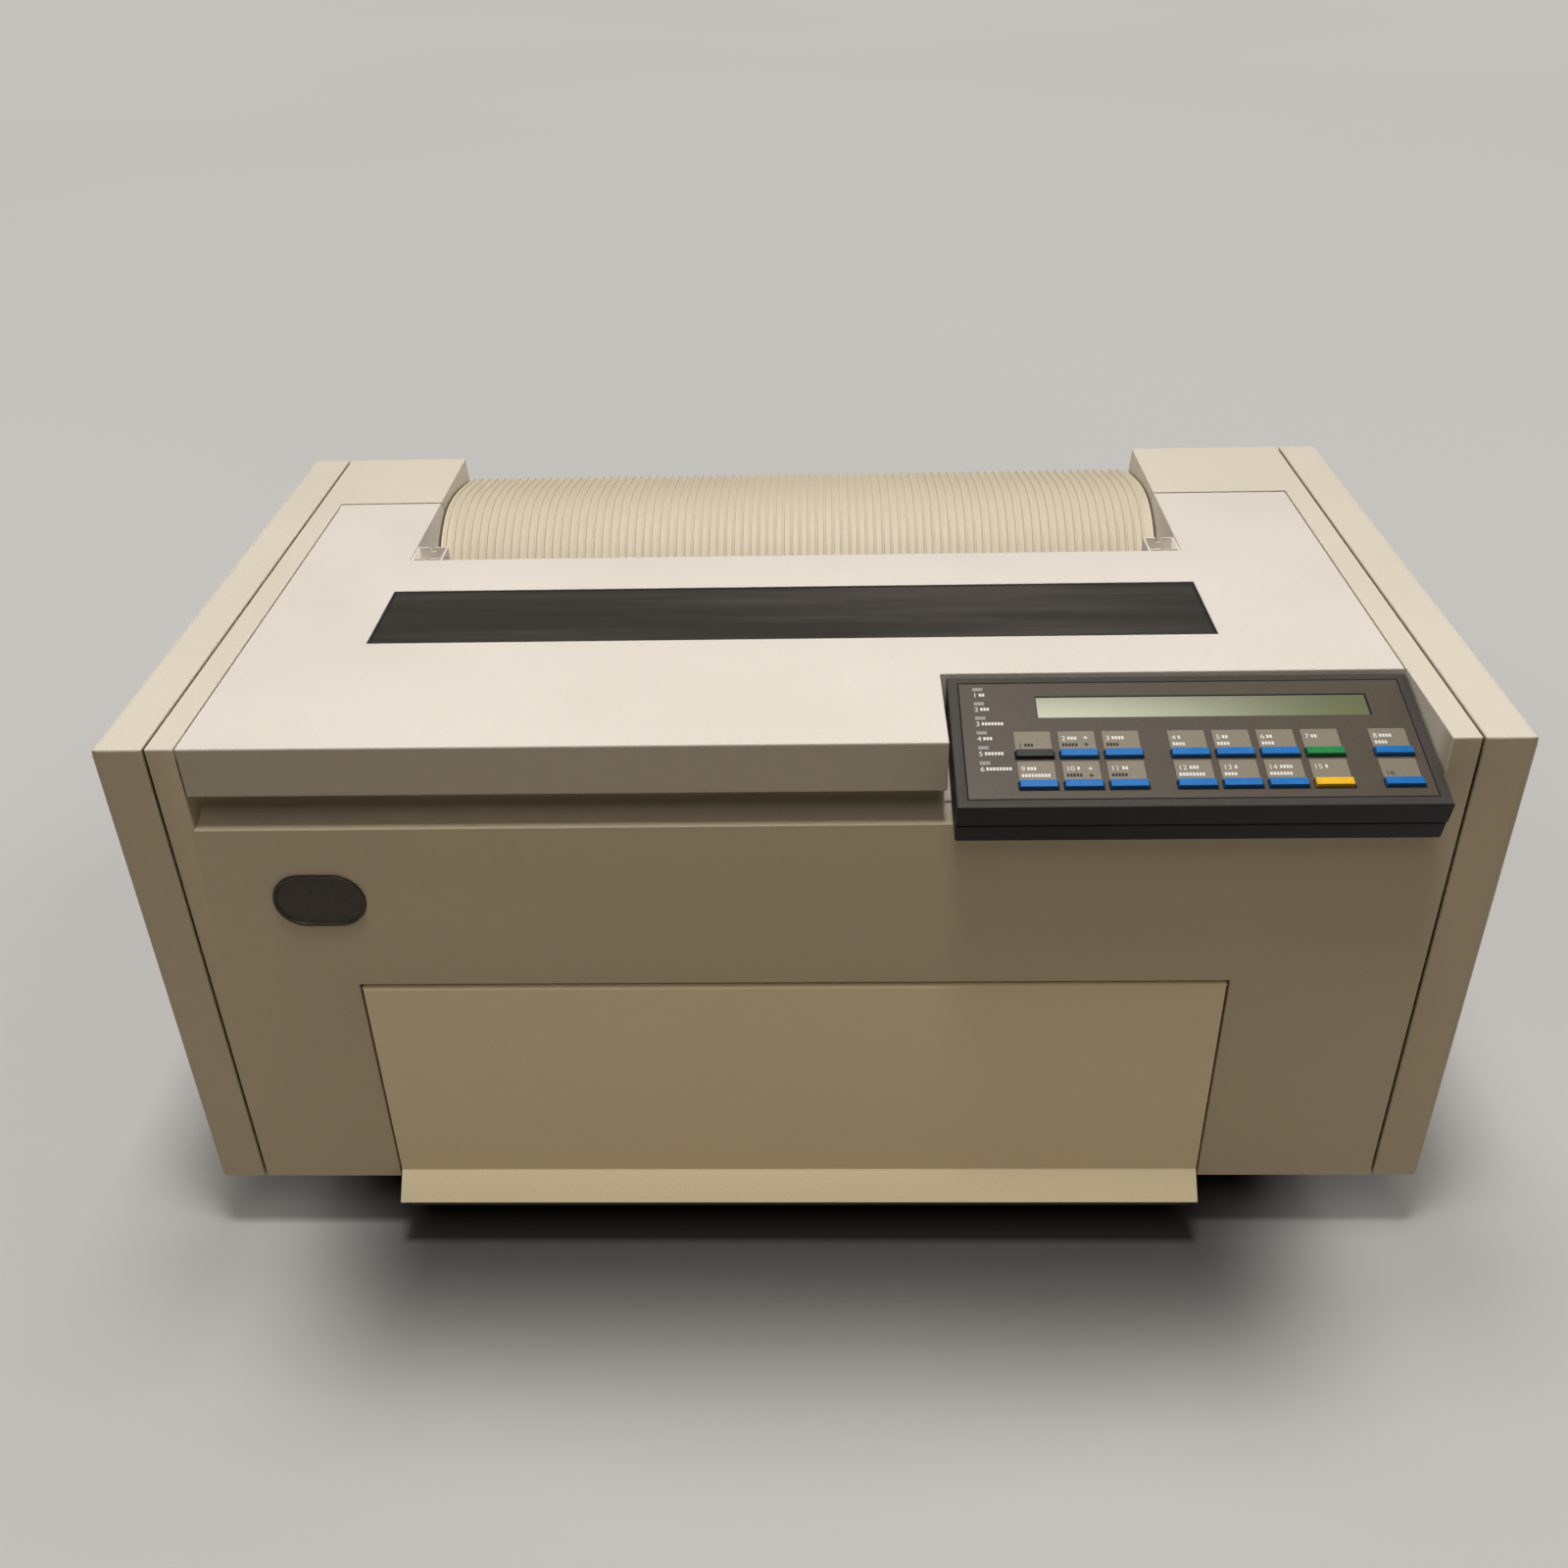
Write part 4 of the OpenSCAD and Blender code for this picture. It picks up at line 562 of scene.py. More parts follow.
# ---- belt and motors -----------------------------------
# A toothed rubber belt draws the carriage. Each motor has a stack of dark steel plates
# between two cast end caps, held together by four long screws.
CAP_T, CAP_OUT, CAP_CORNER = 0.006, 0.0003, 0.004
CAP_SCREW_IN, CAP_SCREW_R = 0.006, 0.0028
FACING_DOWN = Matrix.Rotation(math.pi, 4, "X")
FACING_BACK = Matrix.Rotation(-math.pi / 2, 4, "X")
FACING_RIGHT = Matrix.Rotation(math.pi / 2, 4, "Y")


def edges_along(corners, axis, least=0.0003):
    """The edges at some corners that run along an axis."""
    edges = dict.fromkeys(e for v in corners for e in v.link_edges)
    return [e for e in edges if abs(e.verts[0].co[axis] - e.verts[1].co[axis]) > least]


belt_rubber = Finish("belt_rubber", linear(28, 28, 28), 0.7)
belt_rubber.paint(belt_rubber.mix(belt_rubber.noise(500), linear(24, 24, 24), linear(38, 38, 38)))
teeth = belt_rubber.node(
    "ShaderNodeTexWave", "Fac", {"bands_direction": "X"}, Vector=belt_rubber.place, Scale=160.0
)
belt_rubber.bump(teeth, 0.0005)
refinish("carriage_belt", belt_rubber)
motor_cast = Finish("cast_end_caps", linear(136, 138, 140), 0.45, metallic=0.85)
sand = motor_cast.noise(500, 4.0, 0.6)
motor_cast.paint(motor_cast.mix(sand, linear(118, 120, 122), linear(150, 151, 152)))
motor_cast.bump(sand, 0.0002)
for node, axis, turned in (("carriage_motor", "Y", FACING_BACK), ("feed_motor", "X", FACING_RIGHT)):
    stack = Finish(node + "_plates", linear(52, 53, 56), 0.4, metallic=0.4)
    lines = stack.node(
        "ShaderNodeTexWave", "Fac", {"bands_direction": axis}, Vector=stack.place, Scale=500.0
    )
    stack.paint(stack.mix(lines, linear(40, 41, 44), linear(66, 67, 70)))
    stack.bump(lines, 0.0002)
    soften(node, stack, 0.001, shortest=0.006)
    low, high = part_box(node)
    half = (high.z - low.z) / 2
    wide = half + CAP_OUT
    caps = bmesh.new()
    for away in (0.0, 2 * half - CAP_T):
        block = slab(caps, -wide, wide, -wide, wide, away, away + CAP_T)
        round_off(caps, edges_along(block, 2), CAP_CORNER, 4, clamp=True)
    for x in (-1, 1):
        for y in (-1, 1):
            corner = Vector((x, y, 0)) * (half - CAP_SCREW_IN)
            screw(caps, CAP_SCREW_R, Matrix.Translation(corner) @ FACING_DOWN)
    along = "XYZ".index(axis)
    origin = (low + high) / 2
    origin[along] = low[along]
    bmesh.ops.transform(caps, matrix=Matrix.Translation(origin) @ turned, verts=caps.verts)
    piece(node + "_caps", caps, motor_cast, "chassis")

# ---- carriage, print head and ribbon -------------------
# A black moulding runs on two rods and carries a cast print head, whose steel nose
# guides nine wires. Two arms of the ribbon cartridge hold the inked ribbon across it.
NOSE_Z, NOSE_T = 0.230, 0.0006
NOSE_HALF_W, NOSE_HALF_H, NOSE_CORNER = 0.0045, 0.0055, 0.0015
WIRES, WIRE_PITCH, WIRE_HALF_W, WIRE_OUT, WIRE_H = 9, 0.0008, 0.0002, 0.0001, 0.00025
ARM_X, ARM_BACK = 0.033, 0.012
RIBBON_IN, RIBBON_OUT, END_HALF = 0.0003, 0.00042, 0.0002
RIBBON_LOW, RIBBON_EDGE, RIBBON_HIGH = -0.003, 0.0042, 0.0085
for node in ("carriage", "ribbon_cartridge"):
    soften(node, black_plastic, 0.0005, shortest=0.006)
cast = Finish("cast_head", linear(120, 121, 124), 0.5, metallic=0.8)
cast.paint(cast.mix(cast.noise(300, 3.0), linear(100, 101, 104), linear(134, 135, 138)))
cast.bump(cast.noise(600, 3.0), 0.0002)
refinish("print_head", cast)
head_low, head_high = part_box("print_head")
head_x = (head_low.x + head_high.x) / 2
head_y = head_high.y
nose = bmesh.new()
block = slab(
    nose, head_x - NOSE_HALF_W, head_x + NOSE_HALF_W, head_y - NOSE_T, head_y,
    NOSE_Z - NOSE_HALF_H, NOSE_Z + NOSE_HALF_H,
)
round_off(nose, edges_along(block, 1), NOSE_CORNER, clamp=True)
for wire in range(WIRES):
    z = NOSE_Z - WIRE_PITCH * (WIRES - 1) / 2 + WIRE_PITCH * wire
    slab(nose, head_x - WIRE_HALF_W, head_x + WIRE_HALF_W, head_y, head_y + WIRE_OUT, z, z + WIRE_H)
piece("head_wire_guide", nose, ground_steel, "carriage")
inked = Finish("inked_ribbon", linear(22, 21, 26), 0.85)
woven = inked.noise(1600, 2.0, 0.6, inked.stretched(1, 1, 2))
inked.paint(inked.mix(woven, linear(16, 15, 20), linear(36, 34, 42)))
inked.bump(woven, 0.0001)
arm_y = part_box("ribbon_cartridge")[1].y
ribbon_y = arm_y + RIBBON_OUT
ribbon_top = NOSE_Z + RIBBON_HIGH
band = bmesh.new()
slab(band, head_x - ARM_X, head_x + ARM_X, arm_y + RIBBON_IN, ribbon_y, NOSE_Z + RIBBON_LOW, ribbon_top)
for side in (-1, 1):
    end_x = head_x + side * ARM_X
    x0, x1 = end_x - END_HALF, end_x + END_HALF
    slab(band, x0, x1, arm_y - ARM_BACK, ribbon_y, NOSE_Z + RIBBON_EDGE, ribbon_top)
piece("ink_ribbon", band, inked, "carriage")
blue_plastic = Finish("blue_moulding", linear(40, 92, 156), 0.4)
blue_plastic.paint(blue_plastic.mix(blue_plastic.noise(400), linear(36, 84, 146), linear(48, 102, 168)))
for node in ("ribbon_knob", "gap_lever"):
    refinish(node, blue_plastic)

# ---- tractors ------------------------------------------
# Two grey mouldings slide along the tractor shaft to the edges of the forms. A hinged
# door on each keeps the paper down on the pins of its sprocket.
grey_plastic = Finish("grey_moulding", linear(92, 94, 98), 0.45)
grey_plastic.paint(grey_plastic.mix(grey_plastic.noise(500), linear(84, 86, 90), linear(102, 104, 108)))
grey_plastic.bump(grey_plastic.noise(900), 0.0001)
for side in ("left", "right"):
    soften(side + "_tractor", grey_plastic, 0.0004, shortest=0.005)
    soften(side + "_tractor_door", grey_plastic, 0.0004, shortest=0.005)

# ---- main cover, side covers and rear cover ------------
# Thick shells of structural foam plastic in a warm cream that has yellowed with
# age. Their faces that look forward are painted darker and yellower, partly as
# yellowing and partly as painted shade. Their skin has a fine sprayed grain.
TONE_BELOW = (0.3082, 0.309)
TONE_BACK = -0.185
OUTER_RIM = (0.3185, 0.02, 0.0048)


def tint(colour, factor):
    """A colour made lighter or darker."""
    return (*[c * factor for c in colour[:3]], 1)


def moulded_plastic(name, fresh, front_tone, roughness=0.55, tone_below=TONE_BELOW, tone_back=TONE_BACK):
    """Grained plastic with a second colour, for painted shade and painted light, below a height on the
    faces that look forward.
    """
    made = Finish(name, fresh, roughness)
    blotch = made.noise(7, 3.0)
    speck = made.noise(420, 2.0, 0.7)
    grain = made.noise(1100, 2.0, 0.6)
    # Forward faces below a height take the second colour, whose mask is named yellow: painted shade on the
    # cover fronts, painted light on the door's lip.
    below = made.step(made.along("Z"), *tone_below, 1.0, 0.0)
    yellow = below * made.step(made.along("Y"), tone_back - 0.015, tone_back, 1.0, 0.0)
    skin = made.mix(yellow, fresh, front_tone)
    skin = made.mix(made.step(blotch, 0.35, 0.75) * 0.10, skin, tint(front_tone, 0.86))
    skin = made.mix(made.step(speck, 0.62, 0.8) * 0.16, skin, tint(front_tone, 0.72))
    scuff = made.noise(30, 6.0, 0.75, made.stretched(1, 6, 6))
    skin = made.mix(made.step(scuff, 0.66, 0.74) * 0.10, skin, tint(fresh, 1.12))
    made.paint(skin)
    plug(made.surface.inputs["Roughness"], roughness - 0.06 + 0.14 * speck)
    made.bump(grain + 0.5 * speck, 0.00018)
    return made


cream = moulded_plastic("cream_moulding", linear(220, 209, 190), linear(183, 168, 140))
soften("main_cover", cream, 0.0006, shortest=0.009)
soften("left_side_cover", cream, 0.0009, rim=OUTER_RIM)
soften("right_side_cover", cream, 0.0009, rim=OUTER_RIM)
soften("rear_cover", cream, 0.0006, shortest=0.009)

# ---- case screws ---------------------------------------
# Pan head machine screws of plated steel with cross recesses. They hold the feet to
# the pan from inside their hollow middles, and the rear cover along its lower edge.
FOOT_R = 0.014
FOOT_HOLLOW = 0.006
REAR_SCREWS_X = (-0.282, -0.08, 0.025, 0.282)
REAR_SCREW_Z = 0.052
feet_low, feet_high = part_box("rubber_feet")
rear_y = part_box("rear_cover")[1].y
case_screws = bmesh.new()
for x in (feet_low.x + FOOT_R, feet_high.x - FOOT_R):
    for y in (feet_low.y + FOOT_R, feet_high.y - FOOT_R):
        screw(case_screws, SCREW_R, Matrix.Translation((x, y, FOOT_HOLLOW)) @ FACING_DOWN)
for x in REAR_SCREWS_X:
    screw(case_screws, SCREW_R, Matrix.Translation((x, rear_y, REAR_SCREW_Z)) @ FACING_BACK)
piece("case_screws", case_screws, plated, "chassis")

# ---- rear sockets and switch ---------------------------
# Black moulded sockets. The mains inlet has three plated blades and each port a pressed
# steel shell round two rows of gilt contacts. The rocker is marked with a bar and a ring.
BACK_Y = 0.21915
INLET_X, BLADE_PITCH, BLADE_HALF = -0.247, 0.007, 0.00115
BLADE_BACK, BLADE_TIP, BLADE_OVER = 0.0185, 0.0048, 0.00015
BLADES = ((-1, 0.058, 0.062), (0, 0.064, 0.067), (1, 0.058, 0.062))
PORTS = ((0.060, 0.118), (0.140, 0.180))
PORT_Z0, PORT_Z1 = 0.059, 0.065
SHELL_IN, SHELL_OUT, SHELL_T, SHELL_CORNER = 0.005, 0.0025, 0.0005, 0.002
SHELL_BACK, SHELL_EDGE = 0.0085, 0.0012
CONTACT_PITCH, CONTACT_W, CONTACT_T = 0.0022, 0.0011, 0.00012
CONTACT_IN, CONTACT_BACK, CONTACT_TIP = 0.009, 0.0080, 0.0021
PORT_SCREW_R, PORT_SCREW_IN = 0.0019, 0.0022
ROCKER_Y, ROCKER_Z = 0.21165, 0.062
ROCKER_TILT, FACE_TILT = math.radians(8), math.radians(8.97)
FACE_OUT, MARK_UP = 0.0035, 0.0050
MARK_R, BAR_HALF, RING_IN = 0.002, 0.0004, 0.62
INK_T = 0.00004
for node in ("rear_sockets", "power_switch"):
    refinish(node, black_plastic)
blades = bmesh.new()
for index, z0, z1 in BLADES:
    x = INLET_X + index * BLADE_PITCH
    slab(
        blades, x - BLADE_HALF, x + BLADE_HALF, BACK_Y - BLADE_BACK, BACK_Y - BLADE_TIP,
        z0 - BLADE_OVER, z1 + BLADE_OVER,
    )
contacts = bmesh.new()
for x0, x1 in PORTS:
    shell = bmesh.new()
    block = slab(
        shell, x0 + SHELL_IN, x1 - SHELL_IN, BACK_Y - SHELL_BACK, BACK_Y - SHELL_EDGE,
        PORT_Z0 - SHELL_OUT, PORT_Z1 + SHELL_OUT,
    )
    ends = [f for f in shell.faces if abs(f.normal.y) > 0.9]
    bmesh.ops.delete(shell, geom=ends, context="FACES_ONLY")
    round_off(shell, edges_along(block, 1), SHELL_CORNER, clamp=True)
    bmesh.ops.solidify(shell, geom=shell.faces[:], thickness=SHELL_T)
    gather(blades, shell)
    for pin in range(int((x1 - x0 - 2 * CONTACT_IN) / CONTACT_PITCH)):
        x = x0 + CONTACT_IN + CONTACT_PITCH * pin
        for z in (PORT_Z0, PORT_Z1):
            slab(
                contacts, x, x + CONTACT_W, BACK_Y - CONTACT_BACK, BACK_Y - CONTACT_TIP,
                z - CONTACT_T, z + CONTACT_T,
            )
    for x in (x0 + PORT_SCREW_IN, x1 - PORT_SCREW_IN):
        seat = Matrix.Translation((x, BACK_Y - 0.0002, (PORT_Z0 + PORT_Z1) / 2))
        screw(blades, PORT_SCREW_R, seat @ FACING_BACK)
bmesh.ops.recalc_face_normals(blades, faces=blades.faces)
piece("socket_metal", blades, plated, "chassis")
gilt = Finish("gilt_contacts", linear(214, 176, 96), 0.25, metallic=1.0)
gilt.paint(gilt.mix(gilt.noise(300), linear(200, 162, 84), linear(226, 190, 112)))
piece("port_contacts", contacts, gilt, "chassis")

white_ink = Finish("white_ink", linear(222, 218, 208), 0.5)
white_ink.paint(white_ink.mix(white_ink.noise(900), linear(214, 210, 200), linear(230, 226, 218)))
switch_low, switch_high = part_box("power_switch")
rocker_x = (switch_low.x + switch_high.x) / 2
rocker = Matrix.Translation((rocker_x, ROCKER_Y, ROCKER_Z)) @ Matrix.Rotation(ROCKER_TILT, 4, "X")
marks = bmesh.new()
bar = slab(marks, -BAR_HALF, BAR_HALF, FACE_OUT, FACE_OUT + INK_T, MARK_UP - MARK_R, MARK_UP + MARK_R)
bmesh.ops.rotate(marks, cent=(0, FACE_OUT, 0), matrix=Matrix.Rotation(-FACE_TILT, 3, "X"), verts=bar)
ring = bmesh.ops.create_circle(marks, cap_ends=True, segments=24, radius=MARK_R)["verts"]
inner = grow(marks, ring[0].link_faces[0], Vector(), RING_IN)
bmesh.ops.delete(marks, geom=[inner], context="FACES_ONLY")
ring_faces = list(dict.fromkeys(f for v in ring for f in v.link_faces if len(f.verts) == 4))
ring_verts = list(dict.fromkeys(v for f in ring_faces for v in f.verts))
backing = [f for f in marks.faces if len(f.verts) == 24]
bmesh.ops.delete(marks, geom=backing, context="FACES_ONLY")
on_face = Matrix.Translation((0, FACE_OUT, 0)) @ Matrix.Rotation(FACE_TILT, 4, "X")
lower_half = on_face @ Matrix.Translation((0, 0, -MARK_UP)) @ FACING_BACK
bmesh.ops.transform(marks, matrix=lower_half, verts=ring_verts)
bmesh.ops.solidify(marks, geom=ring_faces, thickness=INK_T)
bmesh.ops.recalc_face_normals(marks, faces=marks.faces)
bmesh.ops.transform(marks, matrix=rocker, verts=marks.verts)
piece("switch_marks", marks, white_ink, "power_switch")

# ---- paper guide ---------------------------------------
# A sheet moulded in cream plastic with narrow round-backed ribs, rounded over its crest
# and hooked onto ledges in the main cover, so that the forms slide over it.
guide_low, guide_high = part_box("paper_guide")
CREST_IN = 0.060
CREST = Vector((0, guide_high.y - CREST_IN, guide_high.z))
FRONT_R, BACK_R = 0.060, 0.150
FRONT_TURN, REAR_TURN = math.radians(45), math.radians(11.5)
FRONT_STEPS, REAR_STEPS = 16, 5
RAMP = 0.013
SHEET_T = 0.0025
RIB_PITCH = 0.00492
RIB_SIDE = [(0.00095, 0.0), (0.0008, 0.0004), (0.00074, 0.0013), (0.0004, 0.0017), (0.0, 0.0018)]
RIB_H = RIB_SIDE[-1][1]
GUIDE_TONE_BELOW, GUIDE_BACK = (0.2, 0.28), 1.0
WEB_T = 0.003
WEB_SIDE = (
    # from the crest, backwards and up
    (-0.008, 0.280 - guide_high.z), (0.050, 0.280 - guide_high.z), (0.059, -0.0118),
    (0.030, -0.0059), (0.0, -0.003), (-0.008, -0.0035),
)


def run_on(solid, edges, way):
    """Extrudes a ring of edges straight on and returns the new ring."""
    grown = bmesh.ops.extrude_edge_only(solid, edges=edges)["geom"]
    moved = [v for v in grown if isinstance(v, bmesh.types.BMVert)]
    bmesh.ops.translate(solid, vec=way, verts=moved)
    return [e for e in grown if isinstance(e, bmesh.types.BMEdge) and all(v in moved for v in e.verts)]


def turn_on(solid, edges, centre, angle, steps):
    """Spins a ring of edges about a line along X and returns the last ring."""
    geom = list(dict.fromkeys(v for e in edges for v in e.verts)) + edges
    spun = bmesh.ops.spin(solid, geom=geom, cent=centre, axis=(1, 0, 0), angle=angle, steps=steps)
    return [e for e in spun["geom_last"] if isinstance(e, bmesh.types.BMEdge)]


guide = bmesh.new()
valley = CREST.z - RIB_H
outline = [(guide_low.x, valley)]
for rib in range(int((guide_high.x - guide_low.x) / RIB_PITCH)):
    middle = guide_low.x + (rib + 0.5) * RIB_PITCH
    outline += [(middle - x, valley + z) for x, z in RIB_SIDE]
    outline += [(middle + x, valley + z) for x, z in reversed(RIB_SIDE[:-1])]
outline += [(guide_high.x, valley), (guide_high.x, valley - SHEET_T), (guide_low.x, valley - SHEET_T)]
start = guide.faces.new([guide.verts.new((x, CREST.y, z)) for x, z in outline])
front_centre = CREST - Vector((0, 0, FRONT_R))
bmesh.ops.rotate(
    guide, cent=front_centre, matrix=Matrix.Rotation(FRONT_TURN, 3, "X"), verts=guide.verts
)
ramp_way = Vector((0, math.cos(FRONT_TURN), math.sin(FRONT_TURN))) * RAMP
bmesh.ops.translate(guide, vec=-ramp_way, verts=guide.verts)
ring = run_on(guide, start.edges[:], ramp_way)
ring = turn_on(guide, ring, front_centre, -FRONT_TURN, FRONT_STEPS)
ring = turn_on(guide, ring, CREST - Vector((0, 0, BACK_R)), -REAR_TURN, REAR_STEPS)
tail = (guide_high.y - CREST.y - BACK_R * math.sin(REAR_TURN)) / math.cos(REAR_TURN)
ring = run_on(guide, ring, Vector((0, math.cos(REAR_TURN), -math.sin(REAR_TURN))) * tail)
bmesh.ops.contextual_create(guide, geom=ring)
for web_x in (guide_low.x, guide_high.x - WEB_T):
    web = guide.faces.new([guide.verts.new((web_x, CREST.y + y, CREST.z + z)) for y, z in WEB_SIDE])
    grow(guide, web, Vector((WEB_T, 0, 0)))
bmesh.ops.recalc_face_normals(guide, faces=guide.faces)
# Lower down the sheet takes a darker, yellower colour.
guide_plastic = moulded_plastic(
    "guide_moulding", linear(213, 200, 176), linear(202, 185, 152), 0.5, GUIDE_TONE_BELOW, GUIDE_BACK
)
ribbed = piece("ribbed_sheet", guide, guide_plastic, "chassis", 40)
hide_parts("paper_guide")

# ---- lid and window ------------------------------------
# The lid was moulded in a whiter plastic that has hardly yellowed. A pane of smoked
# acrylic sits in a stepped opening above the print head.
# Its front lip below the top is painted darker, as painted shade.
lid_plastic = moulded_plastic("lid_moulding", linear(226, 217, 205), linear(174, 162, 144), 0.5)
soften("lid", lid_plastic, 0.0006, shortest=0.018)
smoke = Finish("smoked_acrylic", linear(66, 62, 58), 0.16, coat=0.3)
haze = smoke.noise(5, 4.0, 0.6, smoke.stretched(0.6, 7, 1))
smear = smoke.step(haze, 0.42, 0.75)
smoke.paint(smoke.mix(smear, linear(60, 56, 52), linear(80, 75, 70)))
plug(smoke.surface.inputs["Roughness"], 0.14 + 0.22 * smear)
smoke.bump(smoke.noise(300, 2.0), 0.00003)
soften("lid_window", smoke, 0.0003)

# ---- hinge pins ----------------------------------------
# Short pins cut from the same ground steel as the shafts, pressed into the main cover.
# The lid and the forms door swing on them.
refinish("hinge_pins", ground_steel)

# ---- forms door ----------------------------------------
# A flat door moulded with a finger lip along its lower edge, from a batch of plastic
# that has yellowed a little more than the cover round it. Its lip, which faces up, is
# painted lighter as painted light.
DOOR_LIP = (0.0455, 0.048)
# Below DOOR_LIP the forward faces take the lighter colour: painted light on the lip.
door_plastic = moulded_plastic(
    "door_moulding", linear(214, 195, 157), linear(238, 221, 182), tone_below=DOOR_LIP
)
soften("front_door", door_plastic, 0.0007, shortest=0.02)

# ---- badge ---------------------------------------------
# A blank oval of bronze-coloured aluminium with a raised rim, brushed along its
# length and let into a seat in the front of the main cover.
bronze = Finish("bronze_badge", linear(66, 59, 50), 0.42, metallic=0.55)
brushed = bronze.noise(260, 3.0, 0.6, bronze.stretched(1, 1, 12))
bronze.paint(bronze.mix(bronze.step(brushed, 0.3, 0.7), linear(50, 44, 36), linear(70, 62, 52)))
plug(bronze.surface.inputs["Roughness"], 0.36 + 0.2 * brushed)
bronze.bump(brushed, 0.00006)
soften("badge", bronze, 0.0004, shortest=0.0002)

# ---- operator panel ------------------------------------
# Two charcoal shells that part along a seam all round. The upper one holds a printed
# film with the display window, six lamps and sixteen key bars. The display's glass is
# pale at its left end and greener at its right.
PANEL_RIM_Z = 0.2872
charcoal = Finish("charcoal_moulding", linear(42, 40, 39), 0.45, specular=0.26)
fine = charcoal.noise(1000, 2.0)
rub = charcoal.step(charcoal.noise(26, 5.0, 0.7), 0.56, 0.72)
skin = charcoal.mix(rub * 0.35, linear(68, 64, 59), linear(84, 79, 74))
# The top above the rim is painted lighter and the faces below it dark: painted light and painted shade.
lit_top = charcoal.step(charcoal.along("Z"), PANEL_RIM_Z - 0.0006, PANEL_RIM_Z)
charcoal.paint(charcoal.mix(lit_top, linear(24, 23, 22), skin))
plug(charcoal.surface.inputs["Roughness"], 0.42 + 0.18 * fine)
charcoal.bump(fine, 0.00015)
soften("panel_base", charcoal, 0.0009)
soften("panel_top", charcoal, 0.0007, shortest=0.02)

film = Finish("printed_film", linear(84, 74, 62), 0.42)
weave = film.noise(1500, 2.0)
film.paint(film.mix(film.step(weave, 0.3, 0.7), linear(80, 71, 59), linear(88, 78, 66)))
film.bump(weave, 0.00008)
refinish("panel_overlay", film)

glass = Finish("display_glass", linear(196, 204, 178), 0.18, coat=0.5)
lcd_low, lcd_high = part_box("display")
across = glass.step(glass.along("X"), lcd_low.x, lcd_high.x)
tone = glass.mix(across, linear(206, 207, 186), linear(112, 117, 84))
upward = glass.step(glass.along("Y"), lcd_low.y, lcd_high.y)
glass.paint(glass.mix(upward * 0.45, tone, linear(108, 112, 90)))
refinish("display", glass)

lamp_lens = Finish("lamp_lens", linear(150, 148, 140), 0.3, coat=0.2)
lamp_lens.paint(lamp_lens.mix(lamp_lens.noise(400), linear(140, 138, 131), linear(165, 163, 156)))
refinish("indicator_lights", lamp_lens)

# ---- key bars ------------------------------------------
# Sixteen small bars of coloured plastic stand up through slots in the film, one under
# each printed label, and are pressed down against springs.
KEY_COLOURS = {
    "key_black": linear(44, 42, 42),
    "key_blue": linear(10, 110, 186),
    "key_green": linear(14, 134, 66),
    "key_yellow": linear(244, 186, 18),
}
key_plastics = {}
for name, colour in KEY_COLOURS.items():
    made = Finish(name + "_plastic", colour, 0.4)
    touch = made.noise(300, 3.0)
    made.paint(made.mix(made.step(touch, 0.4, 0.75), tint(colour, 0.92), tint(colour, 1.08)))
    plug(made.surface.inputs["Roughness"], 0.34 + 0.2 * touch)
    made.bump(made.noise(1400, 2.0), 0.00008)
    key_plastics[name] = made
for number in range(1, 17):
    node = f"key_{number:02d}"
    soften(node, key_plastics[slot_of(node)], 0.00035, shortest=0.001)

# ---- printed labels ------------------------------------
# A grey-brown field is printed on the film above each key bar. It carries a plain
# number and a row or two of small blocks. The lamps are marked in the same way.
TILT = math.radians(14.6)
panel_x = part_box("panel_top")[0].x
PANEL_EDGE = Vector((panel_x, cad_box[0].y, PANEL_RIM_Z))
on_panel = Matrix.Translation(PANEL_EDGE) @ Matrix.Rotation(TILT, 4, "X")
FILM_TOP = -0.0004
FIELD_T = 0.00012
KEY_W, KEY_D = 0.0164, 0.0042
KEY_PITCH = 0.0199
KEY_COLUMNS = [0.0284 + KEY_PITCH * i for i in range(3)]
KEY_COLUMNS += [0.0979 + KEY_PITCH * i for i in range(4)] + [0.188]
KEY_ROWS = [0.0298, 0.011]
FIELD_GAP, FIELD_D = 0.0013, 0.0113
BLOCK_W, BLOCK_H, BLOCK_PITCH = 0.0011, 0.0019, 0.00145
FIGURE_H, FIGURE_PITCH, FIGURE_GAP = 0.0029, 0.0023, 0.0005
FONT_SIZE = FIGURE_H * 1.4
LINE_X, LINE_HIGH, LINE_LOW = 0.0013, 0.0069, 0.0027
ARROW_X, ARROW_R, ARROW_UP = 0.0122, 0.0014, 0.0004
ARROW_FLAT, STEM_HALF_W, STEM_HALF_H = 0.6, 0.0002, 0.0011
KEY_LINES = [
    # width and ink of the upper and of the lower line, and the way of their arrows
    (0, "", 0.0075, "dark", 0),
    (0.0078, "white", 0.0082, "dark", 1),
    (0.0092, "white", 0.0070, "dark", 0),
    (0.0056, "white", 0.0066, "white", 0),
    (0.0058, "white", 0.0064, "white", 0),
    (0.0070, "white", 0.0064, "white", 0),
    (0.0066, "white", 0, "", 0),
    (0.0092, "white", 0.0060, "white", 0),
    (0.0078, "white", 0.0138, "white", 0),
    (0.0078, "white", 0.0082, "dark", -1),
    (0.0092, "white", 0.0085, "dark", 0),
    (0.0096, "white", 0.0124, "white", 0),
    (0.0080, "white", 0.0058, "white", 0),
    (0.0116, "white", 0.0110, "white", 0),
    (0.0068, "white", 0, "", 0),
    (0, "", 0.0062, "dark", 0),
]
LAMP_LINES = [0.0070, 0.0074, 0.0140, 0.0082, 0.0120, 0.0146]
LAMP_X, LAMP_TOP, LAMP_PITCH, LAMP_DROP = 0.0116, 0.0746, 0.0095, 0.0036


